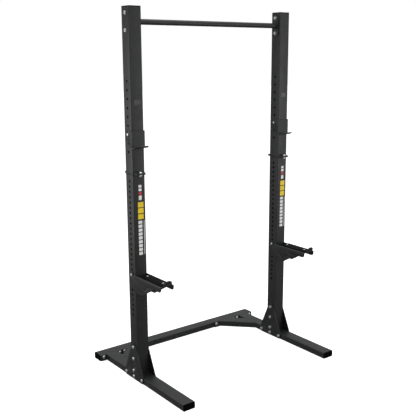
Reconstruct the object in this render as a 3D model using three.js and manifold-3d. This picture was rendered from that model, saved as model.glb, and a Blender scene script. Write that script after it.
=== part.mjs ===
// Free-standing two-upright training rack with a pull-up bar, bar hooks and a U-shaped base.
// Millimetres. +X along the pull-up bar, -Y towards the front of the feet, +Z up.
// The origin is on the floor, at the middle of the footprint.

import * as THREE from 'three';
import { mergeVertices } from 'three/addons/utils/BufferGeometryUtils.js';
import Module from 'manifold-3d';

const wasm = await Module();
wasm.setup();

// ---------------------------------------------------------------- driving dimensions

// Overall
const overallHeight = 2215;
const upperPart = 932; // joint to the top of the rack
const uprightSpacing = 1130;
const footReach = 515; // upright axis to the front end of a foot

// General clearances
const fitGap = 0.3; // between pieces that touch
const slideGap = 0.8; // between a bracket and the tube that it wraps
const boltPlay = 0.5; // radial, between a bolt's shank and its hole

// Uprights
const tubeSide = 80;
const tubeWall = 3;
const tubeCorner = 5;
const innerCorner = 1; // least inside corner radius of a tube
const jointPlate = 5;
const jointTab = 34; // how far the joint plates stand out in front and behind
const jointTabInset = 9; // side of the tube to the side of a tab
const tabCorner = 14;
const jointShoulder = 5; // how far a plate's side slopes in before its tab
const jointBoltOffset = 18; // tube face to the bolt's axis

// Holes for the hook pins
const pinRadius = 7;
const pinPlay = 0.4;
const lowerPitch = 31.4;
const lowerTopDrop = 46; // joint to the highest lower hole
const lowestLowerHole = 420;
const upperPitch = 50;
const upperBottomRise = 124; // joint to the lowest upper hole
const upperTopDrop = 408; // top of the rack to the highest upper hole

// Base
const footHeight = 40;
const crossDepth = 75;
const crossOverhang = 85; // upright axis to the end of the crossmember
const baseWall = 3;
const baseCorner = 4;
const basePlate = 6;
const basePlateCorner = 8;
const basePlateGap = 2; // between the foot's plate and the brace's plate
const footPlateInset = 2; // crossmember end to the foot's plate
const footPlateTab = 41; // foot's side to the inner end of its plate
const footBoltOffset = 20; // foot's side to a plate bolt's axis
const braceWidth = 80;
const braceSetback = 64; // gusset's rear edge to where the brace's front edge meets the foot
const braceLeg = 183.4; // from there to the foot's rear end
const braceInnerTab = 50; // brace's end to the inner end of its plate
const braceInnerBolt = 33; // brace's end to its inner plate bolt
const braceOuterBolt = 15; // brace's end to its outer plate bolt
const plateBoltRise = 6; // above the middle of the tubes
const spareHoleRadius = 4.5;
const spareHoleRise = 7; // above the middle of the tubes
const spareHoleSetbacks = [70.6, 111.6]; // brace plate's inner end to a spare hole's axis

// Gusset plates
const gussetThickness = 5;
const gussetBottom = 2;
const gussetHalfBase = 101;
const gussetCorner = 10;
const gussetShoulderRise = 4; // above the foot
const gussetTopRadius = 25;
const gussetFootBoltRise = 2; // above the foot's middle
const gussetSideBoltRise = 4; // above the foot's middle
const gussetSideEdge = 13; // side bolt's axis to the gusset's edge
const gussetUprightBolts = [20, 96, 171]; // above the foot

// Fasteners
const boltRadius = 6;
const headOverhang = 5; // past the shank, all round
const headHeight = 7;
const headRim = 3.2; // height of the head's straight rim
const headShoulder = 6.3; // height at which the dome flattens
const headCrown = 6.6; // radius of the flatter middle of the dome
const nutOverhang = 4.5; // past the shank, all round
const nutHeight = 9;
const threadEnd = 3;

// Plastic caps
const capThickness = 4;
const capPlug = 16;
const capPlay = 0.6;
const capPlugCorner = 3;

// Pull-up bar
const barRadius = 16;
const barWall = 2.5;
const barPlateThickness = 5;
const barPlateWidth = 54;
const barPlateEdge = 16; // bolt's axis to the plate's end
const barPlateCorner = 20;
const barBoltOffset = 47; // bar's axis to a bolt's axis
const barBoltDrop = 37; // top of the rack to the higher bolt's axis

// Bar hooks on the lower tubes
const hookHeight = 672;
const hookSwing = THREE.MathUtils.degToRad(55);
const hookPlate = 4;
const hookEar = 19;
const hookRear = 52; // pin to the foot of the straight rear edge
const hookKeel = 40; // pin to the rear end of the side plates' bottom edge
const hookReach = 313; // upright axis to the front of the side plates
const hookTop = 4; // top of the shelf above the pin's axis
const hookNose = 2; // cut corner of the side plates' upper front end
const hookFrontRadius = 18;
const hookFrontDepth = 33; // top of the shelf to the underside of the front end
const lobeForward = 107;
const lobeDrop = 75;
const lobeRadius = 26;
const slantAngle = THREE.MathUtils.degToRad(29.6);
const sideHoleRadius = 5.5;
const sideHolePitch = 45.5;
const slotHalfLength = 9;
const slotFlat = 0.5; // half the flat left at each end of the slot
const tongueSetback = 8; // front of the side plates to where the shelf starts to turn up
const tongueBendRadius = 8;
const tongueLean = THREE.MathUtils.degToRad(25);
const tongueLength = 34;
const tongueRadius = 29;
const heelTop = 35; // below the pin's axis
const heelBottom = 73;
const heelThickness = 5;
const heelGap = 0.5;
const weldOverlap = 1; // how far welded sheets run into each other
const linerThickness = 6;
const linerSideGap = 6.8; // to the side plates
const linerFrontGap = 5; // to the start of the bend
const linerRearChamfer = 1;
const linerFrontChamfer = 2;

// Bar cups on the upper tubes
const cupHole = 2; // counted up from the lowest upper hole
const cupPlate = 4;
const cupTop = 22;
const cupBottom = 76;
const cupRear = 17;
const cupRearCut = 15.2; // height of the cut at the side plates' lower rear corner
const cupFoot = 30; // pin to the rear end of the side plates' bottom edge
const cupChamfer = 7;
const cupLipFlat = 13; // front plate to where the lip starts to curve
const cupLipRadius = 30;
const cupLipSweep = THREE.MathUtils.degToRad(53);

// Hook and cup pins
const pinShoulder = 1.5; // head past the shank, all round
const pinHead = 4;
const pinTip = 4;
const pinChamfer = 2;

// ---------------------------------------------------------------- derived sizes

const halfTube = tubeSide / 2;
const footMiddle = footHeight / 2;
const uprightX = uprightSpacing / 2;
const braceFront = gussetHalfBase + braceSetback; // this and the next three from the upright axis
const footRear = braceFront + braceLeg;
const crossFront = footRear + basePlate + 2 * fitGap;
const rearReach = crossFront + crossDepth;
const uprightY = (footReach - rearReach) / 2;
const crossHalf = uprightX + crossOverhang;
const jointHeight = overallHeight - upperPart;
const barHeight = overallHeight - barBoltDrop - barBoltOffset;
const lowerTopHole = jointHeight - lowerTopDrop;
const lowerHoleCount = Math.floor((lowerTopHole - lowestLowerHole) / lowerPitch) + 1;
const hookHoleIndex = Math.round((lowerTopHole - hookHeight) / lowerPitch);
const hookPinHeight = lowerTopHole - hookHoleIndex * lowerPitch;
const upperBottomHole = jointHeight + upperBottomRise;
const upperTopHole = overallHeight - upperTopDrop;
const upperHoleCount = Math.floor((upperTopHole - upperBottomHole) / upperPitch) + 1;
const cupPinHeight = upperBottomHole + cupHole * upperPitch;
const bracketInner = halfTube + slideGap;
const tongueBend = hookReach - tongueSetback; // upright axis to where the shelf starts to turn up
const gussetInner = halfTube + fitGap;
const gussetGrip = 2 * (gussetInner + gussetThickness);
const gussetBoltHeights = gussetUprightBolts.map((rise) => footHeight + rise);
const gussetTopBolt = Math.max(...gussetBoltHeights);
const gussetFootBolt = footMiddle + gussetFootBoltRise;
const gussetSideBolt = footMiddle + gussetSideBoltRise;
const gussetSideOffset = gussetHalfBase - gussetSideEdge;
const plateBoltHeight = footMiddle + plateBoltRise;
const braceRun = braceWidth * Math.SQRT2; // brace's width along the foot and along the crossmember
const braceEndInner = uprightX - halfTube - (footRear - braceFront);
const braceEndOuter = braceEndInner + braceRun;
const bracePlateInner = braceEndInner - braceInnerTab;
const holeSides = 6;
const turnedSides = 8;
const barSegments = 8; // each stands for two sides of a full circle
const arcSegments = 2; // each stands for two steps of an arc
const hookArcSegments = 3;
const cornerSegments = 1;

// ---------------------------------------------------------------- geometry helpers

const xAxis = new THREE.Vector3(1, 0, 0);
const yAxis = new THREE.Vector3(0, 1, 0);
const zAxis = new THREE.Vector3(0, 0, 1);
const quarterTurn = Math.PI / 2;

function solidOf(geometry) {
  const bare = geometry.clone();
  bare.deleteAttribute('normal');
  bare.deleteAttribute('uv');
  const merged = mergeVertices(bare);
  const vertProperties = new Float32Array(merged.attributes.position.array);
  const triVerts = new Uint32Array(merged.index.array);
  return new wasm.Manifold(new wasm.Mesh({ numProp: 3, vertProperties, triVerts }));
}

function geometryOf(solid) {
  const mesh = solid.getMesh();
  const geometry = new THREE.BufferGeometry();
  geometry.setAttribute('position', new THREE.BufferAttribute(mesh.vertProperties, 3));
  geometry.setIndex(new THREE.BufferAttribute(mesh.triVerts, 1));
  geometry.computeVertexNormals();
  return geometry;
}

function box([x0, x1], [y0, y1], [z0, z1]) {
  const geometry = new THREE.BoxGeometry(x1 - x0, y1 - y0, z1 - z0);
  geometry.translate((x0 + x1) / 2, (y0 + y1) / 2, (z0 + z1) / 2);
  return solidOf(geometry);
}

function extrude(shape, depth, curveSegments) {
  return new THREE.ExtrudeGeometry(shape, { depth, bevelEnabled: false, curveSegments });
}

// An outline in (Y, Z), extruded along X.
function alongX(shape, [from, to], segments = arcSegments) {
  const geometry = extrude(shape, to - from, segments);
  geometry.applyMatrix4(new THREE.Matrix4().makeBasis(yAxis, zAxis, xAxis));
  geometry.translate(from, 0, 0);
  return solidOf(geometry);
}

// An outline in (X, Z), extruded along Y.
function alongY(shape, [from, to], segments = arcSegments) {
  const geometry = extrude(shape, to - from, segments);
  geometry.applyMatrix4(new THREE.Matrix4().makeBasis(xAxis, zAxis, yAxis.clone().negate()));
  geometry.translate(0, to, 0);
  return solidOf(geometry);
}

// An outline in (X, Y), extruded along Z.
function alongZ(shape, [from, to], segments = arcSegments) {
  const geometry = extrude(shape, to - from, segments);
  geometry.translate(0, 0, from);
  return solidOf(geometry);
}

function roundedRectangle(width, height, radius) {
  const x = width / 2 - radius;
  const y = height / 2 - radius;
  const shape = new THREE.Shape();
  shape.absarc(x, y, radius, 0, quarterTurn);
  shape.absarc(-x, y, radius, quarterTurn, 2 * quarterTurn);
  shape.absarc(-x, -y, radius, 2 * quarterTurn, 3 * quarterTurn);
  shape.absarc(x, -y, radius, 3 * quarterTurn, 4 * quarterTurn);
  return shape;
}

// The ring between two rounded rectangles: a tube's cross-section.
function tubeSection(width, height, wall, radius) {
  const section = roundedRectangle(width, height, radius);
  const hollowCorner = Math.max(radius - wall, innerCorner);
  const hollow = roundedRectangle(width - 2 * wall, height - 2 * wall, hollowCorner);
  section.holes.push(hollow);
  return section;
}

// A cutter for a hole, sized so that a round shank with the given play passes its flats.
function holeAlong(axis, radius, [from, to], [a, b]) {
  const cutRadius = radius / Math.cos(Math.PI / holeSides);
  const geometry = new THREE.CylinderGeometry(cutRadius, cutRadius, to - from, holeSides);
  const middle = (from + to) / 2;
  if (axis === 'x') {
    geometry.rotateZ(quarterTurn);
    geometry.translate(middle, a, b);
  } else if (axis === 'y') {
    geometry.translate(a, middle, b);
  } else {
    geometry.rotateX(quarterTurn);
    geometry.translate(a, b, middle);
  }
  return solidOf(geometry);
}

function cut(body, cutters) {
  return cutters.reduce((rest, cutter) => rest.subtract(cutter), body);
}

// A turned solid on the X axis, from [radius, x] pairs that start and end on the axis.
function turnedAlongX(profile) {
  const points = profile.map(([radius, x]) => new THREE.Vector2(radius, x));
  const geometry = new THREE.LatheGeometry(points, turnedSides);
  geometry.rotateZ(-quarterTurn);
  return solidOf(geometry);
}

// A bolt on the X axis that clamps a stack of the given thickness: domed head on +X, nut on -X.
function clampBolt(grip) {
  const seat = grip / 2 + fitGap;
  const nutRadius = boltRadius + nutOverhang;
  const headRadius = boltRadius + headOverhang;
  return turnedAlongX([
    [0, -seat - nutHeight - threadEnd],
    [boltRadius, -seat - nutHeight - threadEnd],
    [boltRadius, -seat - nutHeight],
    [nutRadius, -seat - nutHeight],
    [nutRadius, -seat],
    [boltRadius, -seat],
    [boltRadius, seat],
    [headRadius, seat],
    [headRadius, seat + headRim],
    [headCrown, seat + headShoulder],
    [0, seat + headHeight],
  ]);
}

// A removable pin on the X axis through a bracket: head on +X, plain end on -X.
function bracketPin(plate) {
  const seat = bracketInner + plate + fitGap;
  const headRadius = pinRadius + pinShoulder;
  return turnedAlongX([
    [0, -seat - pinTip],
    [pinRadius - pinChamfer, -seat - pinTip],
    [pinRadius, -seat - pinTip + pinChamfer],
    [pinRadius, seat],
    [headRadius, seat],
    [headRadius, seat + pinHead - pinChamfer],
    [headRadius - pinChamfer, seat + pinHead],
    [0, seat + pinHead],
  ]);
}

// ---------------------------------------------------------------- materials

function finish(name, color, roughness, metalness) {
  return new THREE.MeshStandardMaterial({ name, color, roughness, metalness });
}

const powderCoat = () => finish('powder_coat', 0x2e3033, 0.55, 0.3);
const zinc = () => finish('zinc_plate', 0xc9ccd0, 0.3, 0.9);
const chrome = () => finish('chrome_plate', 0xe8e9ec, 0.12, 1);
const plastic = () => finish('black_plastic', 0x141415, 0.6, 0);
const liner = () => finish('liner_plastic', 0x242527, 0.5, 0);

// ---------------------------------------------------------------- uprights (side frame: +X outwards)

function pinHoles(heights) {
  const radius = pinRadius + pinPlay;
  return heights.map((height) => holeAlong('x', radius, [-tubeSide, tubeSide], [0, height]));
}

function boltHoles(heights, y = 0) {
  const radius = boltRadius + boltPlay;
  return heights.map((height) => holeAlong('x', radius, [-tubeSide, tubeSide], [y, height]));
}

function lowerUpright() {
  const span = [footHeight + fitGap, jointHeight - jointPlate - fitGap];
  const tube = alongZ(tubeSection(tubeSide, tubeSide, tubeWall, tubeCorner), span, cornerSegments);
  const heights = Array.from({ length: lowerHoleCount }, (_, i) => lowerTopHole - i * lowerPitch);
  return cut(tube, [...pinHoles(heights), ...boltHoles(gussetBoltHeights)]);
}

function upperUpright() {
  const span = [jointHeight + jointPlate + 2 * fitGap, overallHeight - capThickness - fitGap];
  const tube = alongZ(tubeSection(tubeSide, tubeSide, tubeWall, tubeCorner), span, cornerSegments);
  const heights = Array.from({ length: upperHoleCount }, (_, i) => upperBottomHole + i * upperPitch);
  const barBolts = [barHeight - barBoltOffset, barHeight + barBoltOffset];
  return cut(tube, [...pinHoles(heights), ...boltHoles(barBolts)]);
}

// A plate across the tube's end, with a tab for a bolt in front and another behind.
function jointFlange(bottom) {
  const reach = halfTube + jointTab;
  const tab = halfTube - jointTabInset;
  const neck = halfTube + fitGap;
  const shape = new THREE.Shape();
  shape.moveTo(halfTube, -neck);
  shape.lineTo(halfTube, neck);
  shape.lineTo(tab, neck + jointShoulder);
  shape.absarc(tab - tabCorner, reach - tabCorner, tabCorner, 0, quarterTurn);
  shape.absarc(tabCorner - tab, reach - tabCorner, tabCorner, quarterTurn, 2 * quarterTurn);
  shape.lineTo(-tab, neck + jointShoulder);
  shape.lineTo(-halfTube, neck);
  shape.lineTo(-halfTube, -neck);
  shape.lineTo(-tab, -neck - jointShoulder);
  shape.absarc(tabCorner - tab, tabCorner - reach, tabCorner, 2 * quarterTurn, 3 * quarterTurn);
  shape.absarc(tab - tabCorner, tabCorner - reach, tabCorner, 3 * quarterTurn, 4 * quarterTurn);
  shape.lineTo(tab, -neck - jointShoulder);
  const boltY = halfTube + jointBoltOffset;
  const span = [bottom, bottom + jointPlate];
  const cutSpan = [bottom - jointPlate, bottom + 2 * jointPlate];
  const holes = [-boltY, boltY].map((y) => holeAlong('z', boltRadius + boltPlay, cutSpan, [0, y]));
  return cut(alongZ(shape, span), holes);
}

function jointBolt() {
  const grip = 2 * jointPlate + fitGap;
  return geometryOf(clampBolt(grip)).rotateY(-quarterTurn);
}

function tubeCap(width, height) {
  const outline = roundedRectangle(width, height, tubeCorner);
  const plate = alongZ(outline, [0, capThickness], cornerSegments);
  const inset = 2 * (tubeWall + capPlay);
  const plugOutline = roundedRectangle(width - inset, height - inset, capPlugCorner);
  const plug = alongZ(plugOutline, [-capPlug, capThickness / 2], cornerSegments);
  return plate.add(plug);
}

// ---------------------------------------------------------------- base

function foot() {
  const front = capThickness + fitGap - footReach;
  const section = tubeSection(tubeSide, footHeight, baseWall, baseCorner);
  const tube = alongY(section, [front, footRear], cornerSegments).translate([0, 0, footMiddle]);
  const sideHoles = [-gussetSideOffset, gussetSideOffset].flatMap((y) => boltHoles([gussetSideBolt], y));
  return cut(tube, [...boltHoles([gussetFootBolt]), ...sideHoles]);
}

// A flat plate against the crossmember's front face, with two bolt holes.
function basePlateBetween(from, to, boltXs) {
  const span = [footRear + fitGap, footRear + fitGap + basePlate];
  const outline = roundedRectangle(to - from, footHeight, basePlateCorner);
  const plate = alongY(outline, span).translate([(from + to) / 2, 0, footMiddle]);
  const cutSpan = [span[0] - basePlate, span[1] + basePlate];
  const radius = boltRadius + boltPlay;
  return cut(plate, boltXs.map((x) => holeAlong('y', radius, cutSpan, [x, plateBoltHeight])));
}

function footPlate() {
  const outer = crossHalf - uprightX - footPlateInset;
  const boltX = halfTube + footBoltOffset;
  return basePlateBetween(-halfTube - footPlateTab, outer, [-boltX, boltX]);
}

function bracePlate() {
  const outer = -halfTube - footPlateTab - basePlateGap;
  const inner = bracePlateInner - uprightX;
  const boltXs = [
    braceEndInner - uprightX - braceInnerBolt,
    braceEndOuter - uprightX + braceOuterBolt,
  ];
  return basePlateBetween(inner, outer, boltXs);
}

// A square-cut tube laid at 45 degrees and trimmed flat against the foot and the plate.
function brace() {
  const section = tubeSection(braceWidth, footHeight, baseWall, baseCorner);
  const length = 2 * (footRear - braceFront);
  const tube = alongY(section, [-length, length], cornerSegments);
  const turned = tube.rotate([0, 0, 45]);
  const onFoot = braceFront + braceRun / 2;
  const placed = turned.translate([-halfTube, onFoot, footMiddle]);
  const inner = braceEndInner - uprightX - braceRun;
  const keep = box([inner, -halfTube - fitGap], [0, footRear], [-footHeight, 2 * footHeight]);
  return placed.intersect(keep);
}

function crossmember() {
  const half = crossHalf - capThickness - fitGap;
  const section = tubeSection(crossDepth, footHeight, baseWall, baseCorner);
  const bar = alongX(section, [-half, half], cornerSegments);
  const tube = bar.translate([0, rearReach - crossDepth / 2, footMiddle]);
  const cutSpan = [crossFront - baseWall, crossFront + 2 * baseWall];
  const plateBolts = [
    uprightX + halfTube + footBoltOffset,
    uprightX - halfTube - footBoltOffset,
    braceEndOuter + braceOuterBolt,
    braceEndInner - braceInnerBolt,
  ];
  const radius = boltRadius + boltPlay;
  const spareHoleHeight = footMiddle + spareHoleRise;
  const bolted = plateBolts.flatMap((x) => [x, -x]);
  const spare = spareHoleSetbacks.map((setback) => bracePlateInner - setback).flatMap((x) => [x, -x]);
  return cut(tube, [
    ...bolted.map((x) => holeAlong('y', radius, cutSpan, [x, plateBoltHeight])),
    ...spare.map((x) => holeAlong('y', spareHoleRadius, cutSpan, [x, spareHoleHeight])),
  ]);
}

// A tapered plate that ties the upright to the foot, drawn in (Y, Z).
function gusset(innerFace) {
  const shoulder = footHeight + gussetShoulderRise;
  const topArc = Math.atan2(gussetHalfBase - gussetTopRadius, gussetTopBolt - shoulder);
  const shape = new THREE.Shape();
  shape.moveTo(-gussetHalfBase + gussetCorner, gussetBottom);
  shape.lineTo(gussetHalfBase - gussetCorner, gussetBottom);
  shape.lineTo(gussetHalfBase, gussetBottom + gussetCorner);
  shape.lineTo(gussetHalfBase, shoulder);
  shape.absarc(0, gussetTopBolt, gussetTopRadius, topArc, Math.PI - topArc);
  shape.lineTo(-gussetHalfBase, shoulder);
  shape.lineTo(-gussetHalfBase, gussetBottom + gussetCorner);
  const plate = alongX(shape, [innerFace, innerFace + gussetThickness]);
  const span = [innerFace - gussetThickness, innerFace + 2 * gussetThickness];
  const places = [
    [-gussetSideOffset, gussetSideBolt],
    [gussetSideOffset, gussetSideBolt],
    ...[gussetFootBolt, ...gussetBoltHeights].map((height) => [0, height]),
  ];
  return cut(plate, places.map((place) => holeAlong('x', boltRadius + boltPlay, span, place)));
}

// ---------------------------------------------------------------- pull-up bar

function pullUpBar() {
  const half = uprightX - halfTube - barPlateThickness - 2 * fitGap;
  const ring = new THREE.Shape();
  ring.absarc(0, 0, barRadius, 0, 4 * quarterTurn);
  const hollow = new THREE.Path();
  hollow.absarc(0, 0, barRadius - barWall, 0, 4 * quarterTurn);
  ring.holes.push(hollow);
  const geometry = extrude(ring, 2 * half, barSegments);
  geometry.translate(0, 0, -half);
  geometry.rotateY(quarterTurn);
  return geometry;
}

function barPlate() {
  const height = 2 * (barBoltOffset + barPlateEdge);
  const outline = roundedRectangle(barPlateWidth, height, barPlateCorner);
  const outer = -halfTube - fitGap;
  const plate = alongX(outline, [outer - barPlateThickness, outer]).translate([0, 0, barHeight]);
  return cut(plate, boltHoles([barHeight - barBoltOffset, barHeight + barBoltOffset]));
}

// ---------------------------------------------------------------- bar hooks (pin axis at the origin)

// How far in front of the upright a point this high above the pin must be, to clear it when swung up.
function swingClearance(height) {
  return (halfTube + 2 * slideGap + height * Math.sin(hookSwing)) / Math.cos(hookSwing);
}

function hookSidePlate(innerFace) {
  const slant = new THREE.Vector2(-Math.cos(slantAngle), Math.sin(slantAngle));
  const below = new THREE.Vector2(-slant.y, slant.x);
  const slantStart = new THREE.Vector2(-lobeForward, -lobeDrop).addScaledVector(below, lobeRadius);
  const underside = hookTop - hookFrontDepth;
  const slantRun = (underside - slantStart.y) / slant.y;
  const slantEnd = slantStart.clone().addScaledVector(slant, slantRun);
  const lobeEnd = Math.atan2(below.y, below.x);
  const earStart = Math.PI - Math.asin(hookTop / hookEar);
  const shape = new THREE.Shape();
  shape.moveTo(-hookReach, hookTop - hookNose);
  shape.lineTo(-hookReach + hookNose, hookTop);
  shape.absarc(0, 0, hookEar, earStart, 0, true);
  shape.lineTo(hookEar, -hookRear);
  shape.lineTo(-hookKeel, -lobeDrop - lobeRadius);
  shape.absarc(-lobeForward, -lobeDrop, lobeRadius, -quarterTurn, lobeEnd, true);
  shape.lineTo(slantEnd.x, slantEnd.y);
  const frontX = -hookReach + hookFrontRadius;
  shape.absarc(frontX, underside + hookFrontRadius, hookFrontRadius, -quarterTurn, -2 * quarterTurn, true);
  const plate = alongX(shape, [innerFace, innerFace + hookPlate], hookArcSegments);
  const span = [innerFace - hookPlate, innerFace + 2 * hookPlate];
  const sideHoles = [1, 2].map((step) => {
    const centre = new THREE.Vector2(-lobeForward, -lobeDrop).addScaledVector(slant, step * sideHolePitch);
    return holeAlong('x', sideHoleRadius, span, [centre.x, centre.y]);
  });
  const slotOutline = roundedRectangle(2 * sideHoleRadius, 2 * slotHalfLength, sideHoleRadius - slotFlat);
  const slot = alongX(slotOutline, span);
  const pinHole = holeAlong('x', pinRadius + pinPlay, span, [0, 0]);
  return cut(plate, [...sideHoles, slot.translate([0, -lobeForward, -lobeDrop]), pinHole]);
}

// The shelf and the tongue that it turns up into, drawn in (Y, Z).
function hookShelf() {
  const bendCentre = new THREE.Vector2(-tongueBend, hookTop + tongueBendRadius);
  const bendEnd = -Math.PI + tongueLean;
  const along = new THREE.Vector2(-Math.sin(tongueLean), Math.cos(tongueLean));
  const across = new THREE.Vector2(Math.cos(bendEnd), Math.sin(bendEnd));
  const outerEnd = bendCentre.clone().addScaledVector(across, tongueBendRadius + hookPlate);
  const outerTip = outerEnd.clone().addScaledVector(along, tongueLength);
  const innerTip = outerTip.clone().addScaledVector(across, -hookPlate);
  const rear = -swingClearance(hookTop);
  const shape = new THREE.Shape();
  shape.moveTo(rear, hookTop - hookPlate);
  shape.lineTo(rear, hookTop);
  shape.absarc(bendCentre.x, bendCentre.y, tongueBendRadius, -quarterTurn, bendEnd, true);
  shape.lineTo(innerTip.x, innerTip.y);
  shape.lineTo(outerTip.x, outerTip.y);
  shape.absarc(bendCentre.x, bendCentre.y, tongueBendRadius + hookPlate, bendEnd, -quarterTurn);
  const overlap = bracketInner + weldOverlap;
  const sheet = alongX(shape, [-overlap, overlap], hookArcSegments);
  const front = new THREE.Shape();
  const tipHeight = innerTip.y;
  front.moveTo(-overlap, hookTop - 2 * hookPlate);
  front.lineTo(overlap, hookTop - 2 * hookPlate);
  front.lineTo(overlap, hookTop + weldOverlap);
  front.absarc(0, tipHeight - tongueRadius, tongueRadius, 0, 2 * quarterTurn);
  front.lineTo(-overlap, hookTop + weldOverlap);
  return sheet.intersect(alongY(front, [-2 * hookReach, 0], hookArcSegments));
}

function hookBracket() {
  const heel = box(
    [-bracketInner - weldOverlap, bracketInner + weldOverlap],
    [-halfTube - heelGap - heelThickness, -halfTube - heelGap],
    [-heelBottom, -heelTop],
  );
  return hookSidePlate(bracketInner)
    .add(hookSidePlate(-bracketInner - hookPlate))
    .add(hookShelf())
    .add(heel);
}

function hookLiner() {
  const bottom = hookTop + fitGap;
  const rear = -swingClearance(bottom + linerThickness);
  const front = -tongueBend + linerFrontGap;
  const shape = new THREE.Shape();
  shape.moveTo(front, bottom);
  shape.lineTo(rear, bottom);
  const top = bottom + linerThickness;
  shape.lineTo(rear, top - linerRearChamfer);
  shape.lineTo(rear - linerRearChamfer, top);
  shape.lineTo(front + linerFrontChamfer, top);
  shape.lineTo(front, top - linerFrontChamfer);
  const half = bracketInner - linerSideGap;
  return alongX(shape, [-half, half]);
}

// ---------------------------------------------------------------- bar cups (pin axis at the origin)

function cupSidePlate(innerFace) {
  const front = -bracketInner - cupPlate;
  const shape = new THREE.Shape();
  shape.moveTo(front, cupTop);
  shape.lineTo(cupRear - cupChamfer, cupTop);
  shape.lineTo(cupRear, cupTop - cupChamfer);
  shape.lineTo(cupRear, -cupTop);
  shape.lineTo(-cupRear, cupRearCut - cupBottom);
  shape.lineTo(-cupFoot, -cupBottom);
  shape.lineTo(front, -cupBottom);
  const plate = alongX(shape, [innerFace, innerFace + cupPlate]);
  const span = [innerFace - cupPlate, innerFace + 2 * cupPlate];
  return cut(plate, [holeAlong('x', pinRadius + pinPlay, span, [0, 0])]);
}

function cupBracket() {
  const front = -bracketInner - cupPlate;
  const outer = bracketInner + cupPlate;
  const frontPlate = box([-outer, outer], [front, -bracketInner], [-cupBottom, cupTop]);
  const curveStart = front - cupLipFlat;
  const curveHeight = cupLipRadius - cupBottom;
  const lipEnd = -quarterTurn - cupLipSweep;
  const lip = new THREE.Shape();
  lip.moveTo(front + weldOverlap, -cupBottom);
  lip.absarc(curveStart, curveHeight, cupLipRadius, -quarterTurn, lipEnd, true);
  lip.absarc(curveStart, curveHeight, cupLipRadius - cupPlate, lipEnd, -quarterTurn);
  lip.lineTo(front + weldOverlap, cupPlate - cupBottom);
  return frontPlate
    .add(cupSidePlate(bracketInner))
    .add(cupSidePlate(-bracketInner - cupPlate))
    .add(alongX(lip, [-outer, outer]));
}

// ---------------------------------------------------------------- assembly

const group = new THREE.Group();

function addMesh(parent, name, shape, material, [x, y, z] = [0, 0, 0]) {
  const geometry = shape.isBufferGeometry ? shape : geometryOf(shape);
  const mesh = new THREE.Mesh(geometry, material);
  mesh.name = name;
  mesh.position.set(x, y, z);
  parent.add(mesh);
  return mesh;
}

function addUpright(side, name) {
  addMesh(side, `lower_upright_${name}`, lowerUpright(), powderCoat());
  addMesh(side, `upper_upright_${name}`, upperUpright(), powderCoat());
  addMesh(side, `lower_joint_flange_${name}`, jointFlange(jointHeight - jointPlate), powderCoat());
  addMesh(side, `upper_joint_flange_${name}`, jointFlange(jointHeight + fitGap), powderCoat());
  const boltY = halfTube + jointBoltOffset;
  const boltZ = jointHeight + fitGap / 2;
  addMesh(side, `joint_bolt_front_${name}`, jointBolt(), chrome(), [0, -boltY, boltZ]);
  addMesh(side, `joint_bolt_rear_${name}`, jointBolt(), chrome(), [0, boltY, boltZ]);
  const capHeight = overallHeight - capThickness;
  addMesh(side, `top_cap_${name}`, tubeCap(tubeSide, tubeSide), plastic(), [0, 0, capHeight]);
}

function addBase(side, name) {
  addMesh(side, `foot_${name}`, foot(), powderCoat());
  const footCap = addMesh(side, `foot_cap_${name}`, tubeCap(tubeSide, footHeight), plastic());
  footCap.position.set(0, capThickness - footReach, footMiddle);
  footCap.rotation.x = quarterTurn;
  addMesh(side, `foot_plate_${name}`, footPlate(), powderCoat());
  addMesh(side, `brace_${name}`, brace(), powderCoat());
  addMesh(side, `brace_plate_${name}`, bracePlate(), powderCoat());
  const crossCap = addMesh(side, `crossmember_cap_${name}`, tubeCap(footHeight, crossDepth), plastic());
  crossCap.position.set(crossHalf - uprightX - capThickness, rearReach - crossDepth / 2, footMiddle);
  crossCap.rotation.y = quarterTurn;
}

function addGussets(side, name) {
  addMesh(side, `gusset_outer_${name}`, gusset(gussetInner), powderCoat());
  addMesh(side, `gusset_inner_${name}`, gusset(-gussetInner - gussetThickness), powderCoat());
  const places = {
    foot: [0, gussetFootBolt],
    front: [-gussetSideOffset, gussetSideBolt],
    rear: [gussetSideOffset, gussetSideBolt],
    low: [0, gussetBoltHeights[0]],
    middle: [0, gussetBoltHeights[1]],
    high: [0, gussetBoltHeights[2]],
  };
  for (const [place, [y, z]] of Object.entries(places)) {
    addMesh(side, `gusset_bolt_${place}_${name}`, clampBolt(gussetGrip), zinc(), [0, y, z]);
  }
}

function addBarFixings(side, name) {
  addMesh(side, `bar_plate_${name}`, barPlate(), powderCoat());
  const grip = tubeSide + barPlateThickness + fitGap;
  const x = -(barPlateThickness + fitGap) / 2;
  addMesh(side, `bar_bolt_low_${name}`, clampBolt(grip), zinc(), [x, 0, barHeight - barBoltOffset]);
  addMesh(side, `bar_bolt_high_${name}`, clampBolt(grip), zinc(), [x, 0, barHeight + barBoltOffset]);
}

function addHooks(side, name) {
  const hookPlace = [0, 0, hookPinHeight];
  addMesh(side, `hook_${name}`, hookBracket(), powderCoat(), hookPlace);
  addMesh(side, `hook_liner_${name}`, hookLiner(), liner(), hookPlace);
  addMesh(side, `hook_pin_${name}`, bracketPin(hookPlate), chrome(), hookPlace);
  const cupPlace = [0, 0, cupPinHeight];
  addMesh(side, `cup_${name}`, cupBracket(), powderCoat(), cupPlace);
  addMesh(side, `cup_pin_${name}`, bracketPin(cupPlate), chrome(), cupPlace);
}

for (const [name, sign] of [['left', -1], ['right', 1]]) {
  const side = new THREE.Group();
  side.position.set(sign * uprightX, uprightY, 0);
  side.scale.x = sign;
  addUpright(side, name);
  addBase(side, name);
  addGussets(side, name);
  addBarFixings(side, name);
  addHooks(side, name);
  group.add(side);
}

addMesh(group, 'crossmember', crossmember(), powderCoat(), [0, uprightY, 0]);
addMesh(group, 'pull_up_bar', pullUpBar(), powderCoat(), [0, uprightY, barHeight]);

export default group;
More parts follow.
